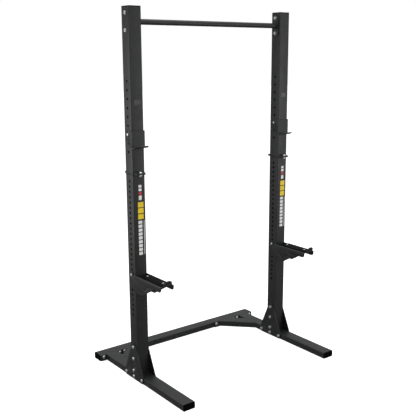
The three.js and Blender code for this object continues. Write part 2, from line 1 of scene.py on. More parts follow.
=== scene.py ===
"""Two-upright training rack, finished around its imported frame.

Every piece is modelled in metres, where the frame holds it. The rack is the same on both sides of its
middle plane, so each side piece is modelled once on the right and mirrored to the left.
"""

import logging
import math
from collections.abc import Callable, Iterator, Sequence
from contextlib import contextmanager
from dataclasses import dataclass, field
from enum import Enum

import bmesh
import bpy
from mathutils import Matrix, Vector


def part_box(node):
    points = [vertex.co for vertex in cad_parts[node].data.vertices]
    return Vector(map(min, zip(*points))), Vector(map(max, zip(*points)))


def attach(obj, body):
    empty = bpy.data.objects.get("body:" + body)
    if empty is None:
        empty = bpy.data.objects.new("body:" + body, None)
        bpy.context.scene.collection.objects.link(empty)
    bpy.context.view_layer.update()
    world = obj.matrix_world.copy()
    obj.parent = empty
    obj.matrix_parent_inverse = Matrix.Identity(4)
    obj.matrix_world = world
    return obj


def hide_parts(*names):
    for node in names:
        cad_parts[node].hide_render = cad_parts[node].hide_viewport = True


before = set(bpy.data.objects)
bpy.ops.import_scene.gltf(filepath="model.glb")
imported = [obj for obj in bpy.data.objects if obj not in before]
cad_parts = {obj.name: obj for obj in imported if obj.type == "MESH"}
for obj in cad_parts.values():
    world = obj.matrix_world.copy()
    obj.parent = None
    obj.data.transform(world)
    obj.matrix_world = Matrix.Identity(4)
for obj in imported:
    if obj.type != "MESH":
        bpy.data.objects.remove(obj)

log = logging.getLogger("rack")

MM = 0.001
FINE_ROUND = 64  # sides of a large round
EAR_SIDES = 48
ROUND = 40  # sides of a round that the eye can follow
HOLE_SIDES = 24
HEXAGON = 6
TINY = 1e-5
MERGE = 1e-6  # points closer than this are one
ALIGNED = 0.999  # cosine above which two directions are the same
QUARTER = math.pi / 2
EVEN = Vector((1, 1, 1))
FRAME_BODY = "frame"
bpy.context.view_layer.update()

HALF_TUBE = 40 * MM
BRACE_WIDTH = 80 * MM
HOOK_REACH = 313 * MM  # tube's axis to the front of the hook's side plates
SHELF_REAR = 6 * MM  # the hook's shelf starts this far behind its wear strip
CAP_LIP = 4 * MM
HEAD_NODE_HEIGHT = 7 * MM  # a bolt's CAD node from its end to the plate, on the head's side
NUT_NODE_HEIGHT = 12 * MM  # the same on the nut's side, thread end included
BOLT_HOLE = 6.5 * MM  # radius
PIN_HOLE = 7.4 * MM  # radius
PAST = MM  # how far a cutter runs past the face that it cuts
FILM = (0.05 * MM, 0.25 * MM)  # inner and outer face of a mark, in front of the post
FILM_CORNER = 2.5 * MM
STROKE_GAP = 5 * MM
TUBE_EDGE = {"width": 0.5 * MM, "steps": 1, "sharp": 50}
PLATE_EDGE = {"width": 0.7 * MM}
BRACKET_EDGE = {"width": 0.6 * MM, "sharp": 35}
GUSSET_PLACES = ("foot", "front", "rear", "low", "middle", "high")
FOOT_PLACES = GUSSET_PLACES[:3]
POST_PLACES = GUSSET_PLACES[3:]
BAR_PLACES = ("low", "high")
JOINT_PLACES = ("front", "rear")

Piece = bpy.types.Object
Tree = bpy.types.NodeTree
Socket = bpy.types.NodeSocket
Test = Callable[[Vector, Vector], bool]  # picks an edge by its two ends, or a face by its middle and normal


class Slot(Enum):
    """The record's material slots."""

    POWDER_COAT = "powder_coat"
    ZINC = "zinc"
    CHROME = "chrome"
    BLACK_PLASTIC = "black_plastic"
    LINER_PLASTIC = "liner_plastic"


class Axis(Enum):
    """The way that a round piece points, as the turn that lays an upright cylinder along it."""

    X = (0.0, QUARTER, 0.0)
    Y = (QUARTER, 0.0, 0.0)
    Z = (0.0, 0.0, 0.0)

    @property
    def way(self) -> Vector:
        """Unit vector along the axis."""
        return Vector([float(self is axis) for axis in Axis])

    @property
    def across(self) -> Vector:
        """Vector of 1 along each of the two other axes."""
        return EVEN - self.way


# ---------------------------------------------------------------- finishes


def linear(code: str) -> tuple[float, float, float, float]:
    """Turn an sRGB colour into the linear one that shaders take.

    Args:
        code: six hex digits.

    Returns:
        Linear red, green, blue and an alpha of 1.
    """
    channels = [int(code[i : i + 2], 16) / 255 for i in (0, 2, 4)]
    return (*[c / 12.92 if c <= 0.04045 else ((c + 0.055) / 1.055) ** 2.4 for c in channels], 1.0)


def add_node(tree: Tree, kind: str, settings: dict, links: dict) -> bpy.types.Node:
    """Add a shader node with its settings and its links.

    Args:
        tree: the node tree that it joins.
        kind: the node's Blender type.
        settings: attribute names, or input names or numbers, and their values.
        links: input names or numbers, and the sockets that feed them.

    Returns:
        The new node.
    """
    node = tree.nodes.new(kind)
    for key, value in settings.items():
        if isinstance(key, str) and hasattr(node, key):
            setattr(node, key, value)
        else:
            node.inputs[key].default_value = value
    for key, socket in links.items():
        tree.links.new(socket, node.inputs[key])
    return node


@dataclass(frozen=True)
class Finish:
    """A surface that drifts between two tones and two roughnesses, under a fine relief.

    Attributes:
        name: the material's plain name.
        slot: the record's slot that the finish belongs to, or None for a printed mark; not used by this
            script.
        tones: sRGB hex of the darker and the lighter tone.
        tone_size: size of one patch of tone, in mm.
        rough: lowest and highest roughness.
        rough_size: size of one patch of roughness, in mm.
        grain: spacing of the relief, in mm.
        depth: height of the relief, in mm.
        metallic: 1 for bare metal, otherwise 0.
        shine: the shader's specular level, below 0.5 where fine texture swallows the gloss.
    """

    name: str
    slot: Slot | None
    tones: tuple[str, str]
    tone_size: float
    rough: tuple[float, float]
    rough_size: float
    grain: float
    depth: float
    metallic: float = 0.0
    shine: float = 0.5

    def relief(self, tree: Tree, place: Socket) -> Socket:
        """Height of the fine relief, from 0 to 1: rounded random bumps.

        Args:
            tree: the material's node tree.
            place: the piece's own coordinates, in metres.

        Returns:
            The socket that carries the height.
        """
        settings = {"Scale": 1 / (self.grain * MM), "Detail": 1.0, "Roughness": 0.4}
        return add_node(tree, "ShaderNodeTexNoise", settings, {"Vector": place}).outputs["Fac"]

    def patches(self, tree: Tree, place: Socket, size: float) -> Socket:
        """Soft patches, from 0 to 1.

        Args:
            tree: the material's node tree.
            place: the piece's own coordinates, in metres.
            size: size of one patch, in mm.

        Returns:
            The socket that carries the patches, spread over the whole range.
        """
        settings = {"Scale": 1 / (size * MM), "Detail": 3.0, "Roughness": 0.55}
        noise = add_node(tree, "ShaderNodeTexNoise", settings, {"Vector": place}).outputs["Fac"]
        spread = {"From Min": 0.32, "From Max": 0.68}
        return add_node(tree, "ShaderNodeMapRange", spread, {"Value": noise}).outputs["Result"]

    def material(self) -> bpy.types.Material:
        """The finish as a material, made the first time that it is asked for."""
        made = bpy.data.materials.get(self.name)
        if made is not None:
            return made
        made = bpy.data.materials.new(self.name)
        made.use_nodes = True
        tree = made.node_tree
        tree.nodes.clear()
        place = add_node(tree, "ShaderNodeTexCoord", {}, {}).outputs["Object"]
        tones = {"data_type": "RGBA", 6: linear(self.tones[0]), 7: linear(self.tones[1])}
        colour = add_node(tree, "ShaderNodeMix", tones, {0: self.patches(tree, place, self.tone_size)})
        limits = {"To Min": self.rough[0], "To Max": self.rough[1]}
        wear = self.patches(tree, place, self.rough_size)
        rough = add_node(tree, "ShaderNodeMapRange", limits, {"Value": wear})
        height = self.relief(tree, place)
        bump = add_node(tree, "ShaderNodeBump", {"Distance": self.depth * MM}, {"Height": height})
        looks = {
            "Base Color": colour.outputs[2],
            "Roughness": rough.outputs["Result"],
            "Normal": bump.outputs["Normal"],
        }
        steady = {"Metallic": self.metallic, "Specular IOR Level": self.shine}
        shader = add_node(tree, "ShaderNodeBsdfPrincipled", steady, looks)
        add_node(tree, "ShaderNodeOutputMaterial", {}, {"Surface": shader.outputs["BSDF"]})
        return made


@dataclass(frozen=True)
class PebbledFinish(Finish):
    """Plastic from an etched mould: small rounded cells that touch."""

    def relief(self, tree: Tree, place: Socket) -> Socket:
        """Height of the moulded cells, from 0 to 1, with the arguments of Finish.relief."""
        settings = {"Scale": 1 / (self.grain * MM), "feature": "SMOOTH_F1", "Smoothness": 0.6}
        return add_node(tree, "ShaderNodeTexVoronoi", settings, {"Vector": place}).outputs["Distance"]


@dataclass(frozen=True)
class ScratchedFinish(Finish):
    """A surface with long fine marks that run one way.

    Attributes:
        stretch: how much longer than wide a mark is, along X, Y and Z.
    """

    stretch: tuple[float, float, float] = (1.0, 12.0, 1.0)

    def relief(self, tree: Tree, place: Socket) -> Socket:
        """Height of the marks, from 0 to 1, with the arguments of Finish.relief."""
        squeeze = {"Scale": [1 / (self.grain * MM * long) for long in self.stretch]}
        drawn = add_node(tree, "ShaderNodeMapping", squeeze, {"Vector": place}).outputs["Vector"]
        settings = {"Scale": 1.0, "Detail": 4.0, "Roughness": 0.6}
        return add_node(tree, "ShaderNodeTexNoise", settings, {"Vector": drawn}).outputs["Fac"]


# Polyester powder baked on steel: satin charcoal with an orange-peel skin. The real cells are about
# 1 mm, and are drawn at 2.5 mm so that the skin still breaks up the highlights from across a room.
POWDER_COAT = Finish(
    "satin_powder_coat", Slot.POWDER_COAT, ("121315", "18191b"), 60, (0.4, 0.52), 140, 2.5, 0.05
)
# The same powder on laser-cut plate, which lies thin over the cut faces; drawn here the same all over, with
# a finer skin and smaller patches than on the tubes.
PLATE_COAT = Finish(
    "satin_powder_coat_on_plate", Slot.POWDER_COAT, ("101113", "18191b"), 35, (0.38, 0.5), 60, 2.0, 0.05
)
# Bright zinc on forged steel: cool grey metal with a faint cloudy bloom.
ZINC = ScratchedFinish(
    "bright_zinc_plate", Slot.ZINC, ("adb0b4", "cfd1d5"), 6, (0.24, 0.4), 9, 0.9, 0.02, metallic=1.0
)
# Polished nickel-chrome on turned steel: nearly white, with faint turning marks round the shank.
CHROME = ScratchedFinish(
    "polished_chrome", Slot.CHROME, ("dfe0e3", "f1f2f4"), 14, (0.08, 0.18), 20, 0.6, 0.006, metallic=1.0
)
# Injection-moulded polyethylene: near-black, dull, with an etched grain of 1 mm drawn at 1.6 mm.
CAP_PLASTIC = PebbledFinish(
    "moulded_polyethylene",
    Slot.BLACK_PLASTIC,
    ("030303", "060607"),
    25,
    (0.6, 0.75),
    40,
    1.6,
    0.06,
    shine=0.04,
)
# High-density polyethylene strip: dark grey, waxy, dragged dull along its length by the barbell.
LINER_PLASTIC = ScratchedFinish(
    "polyethylene_wear_strip",
    Slot.LINER_PLASTIC,
    ("060607", "0c0c0d"),
    18,
    (0.55, 0.7),
    30,
    1.2,
    0.03,
    shine=0.05,
)
# Cut vinyl film: flat even colour with a soft sheen and the faintest ripple of the coat below.
WHITE_VINYL = Finish("white_vinyl_film", None, ("e2e2df", "efefec"), 30, (0.32, 0.42), 40, 2.5, 0.02)
YELLOW_VINYL = Finish("yellow_vinyl_film", None, ("e6c40c", "f4d51c"), 30, (0.32, 0.42), 40, 2.5, 0.02)
RED_VINYL = Finish("red_vinyl_film", None, ("b3222a", "c42d33"), 30, (0.32, 0.42), 40, 2.5, 0.02)
LABEL_FILM = Finish("dark_label_film", None, ("18191b", "1f2022"), 12, (0.2, 0.3), 15, 2.0, 0.01)


# ---------------------------------------------------------------- modelling by operators


def deselect() -> None:
    """Leave nothing selected, so that the next operator acts only on what it is given."""
    bpy.ops.object.select_all(action="DESELECT")


def take(piece: Piece) -> Piece:
    """Make one piece the only selected and the active one, and give it back."""
    deselect()
    piece.select_set(True)
    bpy.context.view_layer.objects.active = piece
    return piece


def settle(piece: Piece) -> Piece:
    """Put a piece's place, turn and size into its mesh, and give it back."""
    take(piece)
    bpy.ops.object.transform_apply(location=True, rotation=True, scale=True)
    return piece


def block(low: Sequence[float], high: Sequence[float]) -> Piece:
    """Add a box between two corners.

    Args:
        low: lowest corner.
        high: highest corner.

    Returns:
        The box, with its place in its mesh.
    """
    deselect()
    corner, size = Vector(low), Vector(high) - Vector(low)
    bpy.ops.mesh.primitive_cube_add(size=1, location=corner + size / 2)
    piece = bpy.context.active_object
    piece.scale = size
    return settle(piece)


def rod(axis: Axis, base: Sequence[float], length: float, radius: float, sides: int = ROUND) -> Piece:
    """Add a cylinder, or a prism where it has few sides.

    Args:
        axis: the way that it points.
        base: middle of its first end.
        length: how far it runs along the axis.
        radius: its radius, to the corners.
        sides: how many sides it has.

    Returns:
        The cylinder, with its place in its mesh.
    """
    deselect()
    middle = Vector(base) + axis.way * length / 2
    bpy.ops.mesh.primitive_cylinder_add(
        vertices=sides, radius=radius, depth=length, location=middle, rotation=axis.value
    )
    return settle(bpy.context.active_object)


@contextmanager
def editing(piece: Piece, mode: str = "EDGE", whole: bool = False) -> Iterator[None]:
    """Open a piece in edit mode, and close it afterwards.

    Args:
        piece: the piece to open.
        mode: what is selected inside, EDGE or FACE.
        whole: True to start with all of it selected, False to start with nothing selected.
    """
    take(piece)
    bpy.ops.object.mode_set(mode="EDIT")
    bpy.ops.mesh.select_mode(type=mode)
    bpy.ops.mesh.select_all(action="SELECT" if whole else "DESELECT")
    yield
    bpy.ops.object.mode_set(mode="OBJECT")


def pick_edges(piece: Piece, test: Test) -> None:
    """Select the edges whose two ends pass a test, in edit mode.

    Args:
        piece: the piece that is open.
        test: says whether an edge between these two points is wanted.
    """
    mesh = bmesh.from_edit_mesh(piece.data)
    for edge in [e for e in mesh.edges if test(e.verts[0].co, e.verts[1].co)]:
        edge.select_set(True)
    bmesh.update_edit_mesh(piece.data)


def pick_faces(piece: Piece, test: Test) -> None:
    """Select the faces that pass a test, in edit mode.

    Args:
        piece: the piece that is open.
        test: says whether a face with this middle and this normal is wanted.
    """
    mesh = bmesh.from_edit_mesh(piece.data)
    for face in [f for f in mesh.faces if test(f.calc_center_median(), f.normal)]:
        face.select_set(True)
    bmesh.update_edit_mesh(piece.data)


def along(way: Vector) -> Test:
    """Give a test for edges that run along a direction."""
    return lambda a, b: abs((b - a).normalized().dot(way)) > ALIGNED


def level(way: Vector, reach: float) -> Test:
    """Give a test for edges that lie this far along a direction, at both ends."""
    return lambda a, b: abs(a.dot(way) - reach) < TINY and abs(b.dot(way) - reach) < TINY


def both(first: Test, second: Test) -> Test:
    """Give a test that needs two tests to pass."""
    return lambda a, b: first(a, b) and second(a, b)


def facing(way: Vector) -> Test:
    """Give a test for faces that look in a direction."""
    return lambda _, normal: normal.dot(way) > ALIGNED


def round_edges(piece: Piece, test: Test, radius: float, steps: int = 6) -> Piece:
    """Round chosen edges with the bevel tool.

    Args:
        piece: the piece to change.
        test: says whether an edge between these two points is rounded.
        radius: how far back from the edge the round starts.
        steps: how many faces it has.

    Returns:
        The piece.
    """
    with editing(piece):
        pick_edges(piece, test)
        bpy.ops.mesh.bevel(offset=radius, segments=steps, profile=0.5, affect="EDGES")
    return piece


def slice_off(piece: Piece, point: Sequence[float], normal: Sequence[float]) -> Piece:
    """Cut away all that lies beyond a plane, and close the cut.

    Args:
        piece: the solid to cut.
        point: a point on the plane.
        normal: the way that the waste lies.

    Returns:
        The piece.
    """
    with editing(piece, "FACE", whole=True):
        bpy.ops.mesh.bisect(plane_co=point, plane_no=normal, use_fill=True, clear_outer=True)
    return piece


def draw_out(piece: Piece, way: Vector, steps: Sequence[tuple[Vector, Vector, Vector]]) -> Piece:
    """Draw the faces that look one way out in several moves.

    Args:
        piece: the piece to change.
        way: the way that the faces look.
        steps: for each extrusion, its move, then its scale and the point it is scaled about.

    Returns:
        The piece.
    """
    with editing(piece, "FACE"):
        pick_faces(piece, facing(way))
        for move, scale, centre in steps:
            bpy.ops.mesh.extrude_region_move(TRANSFORM_OT_translate={"value": move})
            bpy.ops.transform.resize(value=scale, center_override=centre)
    return piece


def curl(centre: Vector, sweep: float, steps: int) -> None:
    """Spin the selected face forward and up about a line along X, in edit mode.

    Args:
        centre: a point on that line.
        sweep: how far to turn.
        steps: how many faces the curl has.
    """
    bpy.ops.mesh.spin(steps=steps, angle=sweep, center=centre, axis=(1, 0, 0), use_auto_merge=False)


def apply_modifier(piece: Piece, kind: str, **settings: object) -> Piece:
    """Add a modifier with its settings and apply it.

    Args:
        piece: the piece to change.
        kind: the modifier's Blender type.
        **settings: the modifier's settings.

    Returns:
        The piece.
    """
    take(piece)
    modifier = piece.modifiers.new(kind.lower(), kind)
    for key, value in settings.items():
        setattr(modifier, key, value)
    bpy.ops.object.modifier_apply(modifier=modifier.name)
    return piece


def join(pieces: Sequence[Piece]) -> Piece:
    """Put several pieces into one object, without welding them.

    Args:
        pieces: the pieces, of which the first one stays.

    Returns:
        The first piece.
    """
    take(pieces[0])
    for piece in pieces[1:]:
        piece.select_set(True)
    bpy.ops.object.join()
    return pieces[0]


def combine(piece: Piece, operation: str, tools: Sequence[Piece]) -> Piece:
    """Weld, cut or trim a piece with others, which are used up.

    Args:
        piece: the piece to change.
        operation: UNION, DIFFERENCE or INTERSECT.
        tools: the solids that change it.

    Returns:
        The piece.
    """
    for tool in tools:
        apply_modifier(piece, "BOOLEAN", operation=operation, object=tool, solver="EXACT")
        bpy.data.objects.remove(tool)
    return piece


def drill(piece: Piece, bits: Sequence[Piece]) -> Piece:
    """Cut a piece with separate bits in one go, and give it back."""
    return combine(piece, "DIFFERENCE", [join(bits)])


def soften(piece: Piece, width: float, steps: int = 2, sharp: float = 40) -> Piece:
    """Break every sharp edge of a solid, clean it and shade it smooth between its edges.

    Args:
        piece: the piece to finish.
        width: width of the broken edge.
        steps: how many faces the broken edge has.
        sharp: the angle in degrees from which an edge counts as sharp.

    Returns:
        The piece.
    """
    limit = math.radians(sharp)
    with editing(piece, whole=True):
        bpy.ops.mesh.remove_doubles(threshold=MERGE)
        bpy.ops.mesh.dissolve_limited(angle_limit=math.radians(0.5))
    apply_modifier(piece, "BEVEL", width=width, segments=steps, limit_method="ANGLE", angle_limit=limit)
    return shade(piece)


def shade(piece: Piece, sharp: float = 35) -> Piece:
    """Turn all faces outwards and shade smooth between edges sharper than an angle.

    Args:
        piece: the piece to shade.
        sharp: that angle, in degrees.

    Returns:
        The piece.
    """
    with editing(piece, "FACE", whole=True):
        bpy.ops.mesh.normals_make_consistent(inside=False)
    take(piece)
    bpy.ops.object.shade_smooth_by_angle(angle=math.radians(sharp))
    return piece


def copy_of(piece: Piece, move: Vector | None = None) -> Piece:
    """Copy a piece with a mesh of its own.

    Args:
        piece: the piece to copy.
        move: how far the copy is shifted, if at all.

    Returns:
        The copy.
    """
    take(piece)
    bpy.ops.object.duplicate(linked=False)
    made = bpy.context.active_object
    made.location = move or Vector()
    return settle(made)


def mirrored(piece: Piece) -> Piece:
    """Copy a piece to the other side of the rack's middle plane, with its faces outwards."""
    made = copy_of(piece)
    made.scale.x = -1
    settle(made)
    with editing(made, "FACE", whole=True):
        bpy.ops.mesh.remove_doubles(threshold=MERGE)
        bpy.ops.mesh.normals_make_consistent(inside=False)
    return made


def hollow(piece: Piece, axis: Axis, wall: float) -> Piece:
    """Make a solid bar a tube with open ends.

    Args:
        piece: the bar.
        axis: the way that it runs.
        wall: wall thickness, inwards.

    Returns:
        The tube.
    """
    with editing(piece, "FACE"):
        pick_faces(piece, lambda _, normal: abs(normal.dot(axis.way)) > ALIGNED)
        bpy.ops.mesh.delete(type="FACE")
    return apply_modifier(piece, "SOLIDIFY", thickness=wall, offset=-1, use_even_offset=True)


def square_tube(low: Vector, high: Vector, axis: Axis, corner: float, wall: float) -> Piece:
    """Make a hollow tube with rounded corners and open ends.

    Args:
        low: lowest corner of its outside.
        high: highest corner of its outside.
        axis: the way that it runs.
        corner: outer corner radius.
        wall: wall thickness.

    Returns:
        The tube.
    """
    return hollow(round_edges(block(low, high), along(axis.way), corner), axis, wall)


def middle_of(node: str) -> Vector:
    """Middle of a CAD node's box."""
    low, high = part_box(node)
    return (low + high) / 2


def bolt_places(kind: str, places: Sequence[str]) -> list[Vector]:
    """Middles of the bolts of one kind on the right."""
    return [middle_of(f"{kind}_bolt_{place}_right") for place in places]


def bores(node: str, axis: Axis, places: Sequence[Vector], radius: float = BOLT_HOLE) -> list[Piece]:
    """Make the bits for holes that go right through a CAD node's box.

    Args:
        node: the CAD node.
        axis: the way that the holes run.
        places: a point on the axis of each hole.
        radius: radius of the holes.

    Returns:
        The bits.
    """
    low, high = (corner.dot(axis.way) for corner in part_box(node))
    bases = [place * axis.across + axis.way * (low - PAST) for place in places]
    return [rod(axis, base, high - low + 2 * PAST, radius, HOLE_SIDES) for base in bases]


# ---------------------------------------------------------------- handing pieces over


def hand_over(piece: Piece, name: str, finish: Finish, body: str, nodes: Sequence[str]) -> None:
    """Name and dress a finished piece, and tie it to the frame.

    Args:
        piece: the piece.
        name: its plain name.
        finish: what it wears.
        body: the body that it moves with.
        nodes: the CAD nodes that it stands for.
    """
    piece.name = name
    piece.data.name = name
    piece.data.materials.clear()
    piece.data.materials.append(finish.material())
    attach(piece, body)
    if nodes:
        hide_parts(*nodes)
    log.info("%s: %d faces on %s", name, len(piece.data.polygons), body)


def hand_over_pair(
    piece: Piece, name: str, finish: Finish, body: str = FRAME_BODY, node: str | None = None
) -> None:
    """Mirror a right-hand piece to the left and hand over both.

    Args:
        piece: the right-hand piece.
        name: its name, to which the side is added.
        finish: what it wears.
        body: the body that it moves with: the frame, or the start of a name that ends in the side.
        node: the start of the name of the CAD node that it stands for, if it stands for one.
    """
    for side, made in (("left", mirrored(piece)), ("right", piece)):
        carrier = body if body == FRAME_BODY else f"{body}_{side}"
        hand_over(made, f"{name}_{side}", finish, carrier, [f"{node}_{side}"] if node else [])


# ---------------------------------------------------------------- fasteners


@dataclass
class Bolt:
    """A clamped bolt: a head and a washer at one end, and a washer, a nut and a thread end at the other.

    Attributes:
        head_radius: radius of the domed head, or of the hexagon head to its corners.
        head_height: height of the head.
        crown: rounded share of a domed head's height, and of a hexagon one's.
        nut_radius: radius of the nut to its corners.
        nut_height: height of the nut.
        shank: radius of the shank.
        washer: how far a washer stands out past the head.
        washer_height: thickness of a washer.
        thread_end: how far the shank stands out of the nut.
        edge: broken edge of a washer, of the nut and of the thread end.
        domed: True for a domed head, False for a hexagon one.
    """

    head_radius: float = 10.6 * MM
    head_height: float = 6 * MM
    crown: tuple[float, float] = (0.8, 0.16)
    nut_radius: float = 10.4 * MM
    nut_height: float = 8 * MM
    shank: float = 6 * MM
    washer: float = 0.8 * MM
    washer_height: float = 1 * MM
    thread_end: float = 2 * MM
    edge: tuple[float, float, float] = (0.3 * MM, 0.9 * MM, 0.8 * MM)
    domed: bool = True

    def head(self, seat: Vector, axis: Axis, sign: float) -> list[Piece]:
        """Make the head's end of the bolt.

        Args:
            seat: middle of the face that the washer lies on.
            axis: the bolt's axis.
            sign: 1 if the head looks along the axis, -1 if it looks back.

        Returns:
            The washer and the head.
        """
        sides = ROUND if self.domed else HEXAGON
        top = seat + axis.way * sign * (self.washer_height + self.head_height)
        low = min(top, seat + axis.way * sign * self.washer_height, key=lambda p: p.dot(axis.way))
        head = rod(axis, low, self.head_height, self.head_radius, sides)
        share, steps = (self.crown[0], 5) if self.domed else (self.crown[1], 2)
        round_edges(head, level(axis.way, top.dot(axis.way)), self.head_height * share, steps)
        return [self.ring(seat, axis, sign), shade(head, sharp=30)]

    def ring(self, seat: Vector, axis: Axis, sign: float) -> Piece:
        """Make a washer on a face, with the arguments of head, and give it back."""
        base = seat if sign > 0 else seat - axis.way * self.washer_height
        washer = rod(axis, base, self.washer_height, self.head_radius + self.washer)
        return soften(washer, self.edge[0])

    def nut(self, seat: Vector, axis: Axis, sign: float) -> list[Piece]:
        """Make the nut's end of the bolt, with the arguments of head.

        Returns:
            The washer, the nut and the thread end.
        """
        outward = axis.way * sign
        near = seat + outward * self.washer_height
        far = near + outward * self.nut_height
        low = min(near, far, key=lambda p: p.dot(axis.way))
        nut = soften(rod(axis, low, self.nut_height, self.nut_radius, HEXAGON), self.edge[1])
        tip = far + outward * self.thread_end
        stub_low = min(near, tip, key=lambda p: p.dot(axis.way))
        stub = rod(axis, stub_low, self.nut_height + self.thread_end, self.shank, HOLE_SIDES)
        return [self.ring(seat, axis, sign), nut, soften(stub, self.edge[2], 1)]

    def clamp(self, node: str, axis: Axis) -> Piece:
        """Make the bolt that a CAD node stands for, seated where that node's head and nut are.

        Args:
            node: the CAD node.
            axis: the bolt's axis, along which its head looks.

        Returns:
            The whole bolt, shank included.
        """
        low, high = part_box(node)
        middle = (low + high) / 2 * axis.across
        nut_seat = middle + axis.way * (low.dot(axis.way) + NUT_NODE_HEIGHT)
        head_seat = middle + axis.way * (high.dot(axis.way) - HEAD_NODE_HEIGHT)
        shank = rod(axis, nut_seat, (head_seat - nut_seat).length, self.shank, HOLE_SIDES)
        return join([shade(shank), *self.head(head_seat, axis, 1), *self.nut(nut_seat, axis, -1)])

    def build(self, kind: str, places: Sequence[str], axis: Axis, finish: Finish) -> None:
        """Make the bolts of one kind on both sides and hand them over.

        Args:
            kind: the start of their CAD nodes' names.
            places: what tells them apart.
            axis: the axis of the bolts on the right.
            finish: what they wear.
        """
        for place in places:
            node = f"{kind}_bolt_{place}"
            hand_over_pair(self.clamp(f"{node}_right", axis), f"{node}_set", finish, node=node)


# ---------------------------------------------------------------- sub-assemblies


@dataclass
class EndCap:
    """A moulded plug for a tube's end: a rounded lip with a sunk panel, and a hollow plug behind it.

    Attributes:
        node: start of the CAD node's name.
        axis: the tube's axis.
        sign: 1 if the cap on the right looks along the axis, -1 if it looks back.
        corner: corner radius of the lip.
        rim: round at the lip's outer edge.
        panel_inset: lip's outline to the sunk panel.
        panel_corner: corner radius of the panel.
        panel_depth: how deep it is sunk.
        plug_inset: lip's outline to the plug.
        plug_corner: corner radius of the plug.
        plug_wall: wall of the plug.
    """

    node: str
    axis: Axis
    sign: float
    corner: float = 5 * MM
    rim: float = 1.2 * MM
    panel_inset: float = 9 * MM
    panel_corner: float = 3 * MM
    panel_depth: float = MM
    plug_inset: float = 3.6 * MM
    plug_corner: float = 3 * MM
    plug_wall: float = 2 * MM

    def slab(self, near: float, far: float, inset: float) -> tuple[Vector, Vector]:
        """Give a box inside the cap's outline.

        Args:
            near: one end of the box, along the axis.
            far: its other end.
            inset: how far inside the outline it is.

        Returns:
            Its lowest and highest corner.
        """
        low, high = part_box(f"{self.node}_right")
        way, across = self.axis.way, self.axis.across
        first = low * across + way * min(near, far) + across * inset
        return first, high * across + way * max(near, far) - across * inset

    def cap(self) -> Piece:
        """Make the cap on the right, and give it back."""
        way = self.axis.way
        low, high = (corner.dot(way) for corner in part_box(f"{self.node}_right"))
        inner, outer = (low, high) if self.sign > 0 else (high, low)
        lip = round_edges(block(*self.slab(outer - self.sign * CAP_LIP, outer, 0)), along(way), self.corner)
        round_edges(lip, level(way, outer), self.rim, steps=3)
        depth = self.sign * self.panel_depth
        panel = block(*self.slab(outer - depth, outer + depth, self.panel_inset))
        drill(lip, [round_edges(panel, along(way), self.panel_corner, steps=4)])
        root = outer - self.sign * CAP_LIP / 2
        corners = self.slab(root, inner, self.plug_inset)
        plug = square_tube(*corners, self.axis, self.plug_corner, self.plug_wall)
        return shade(combine(lip, "UNION", [plug]))

    def build(self, name: str) -> None:
        """Make the caps on both sides and hand them over under this name."""
        hand_over_pair(self.cap(), name, CAP_PLASTIC, node=self.node)


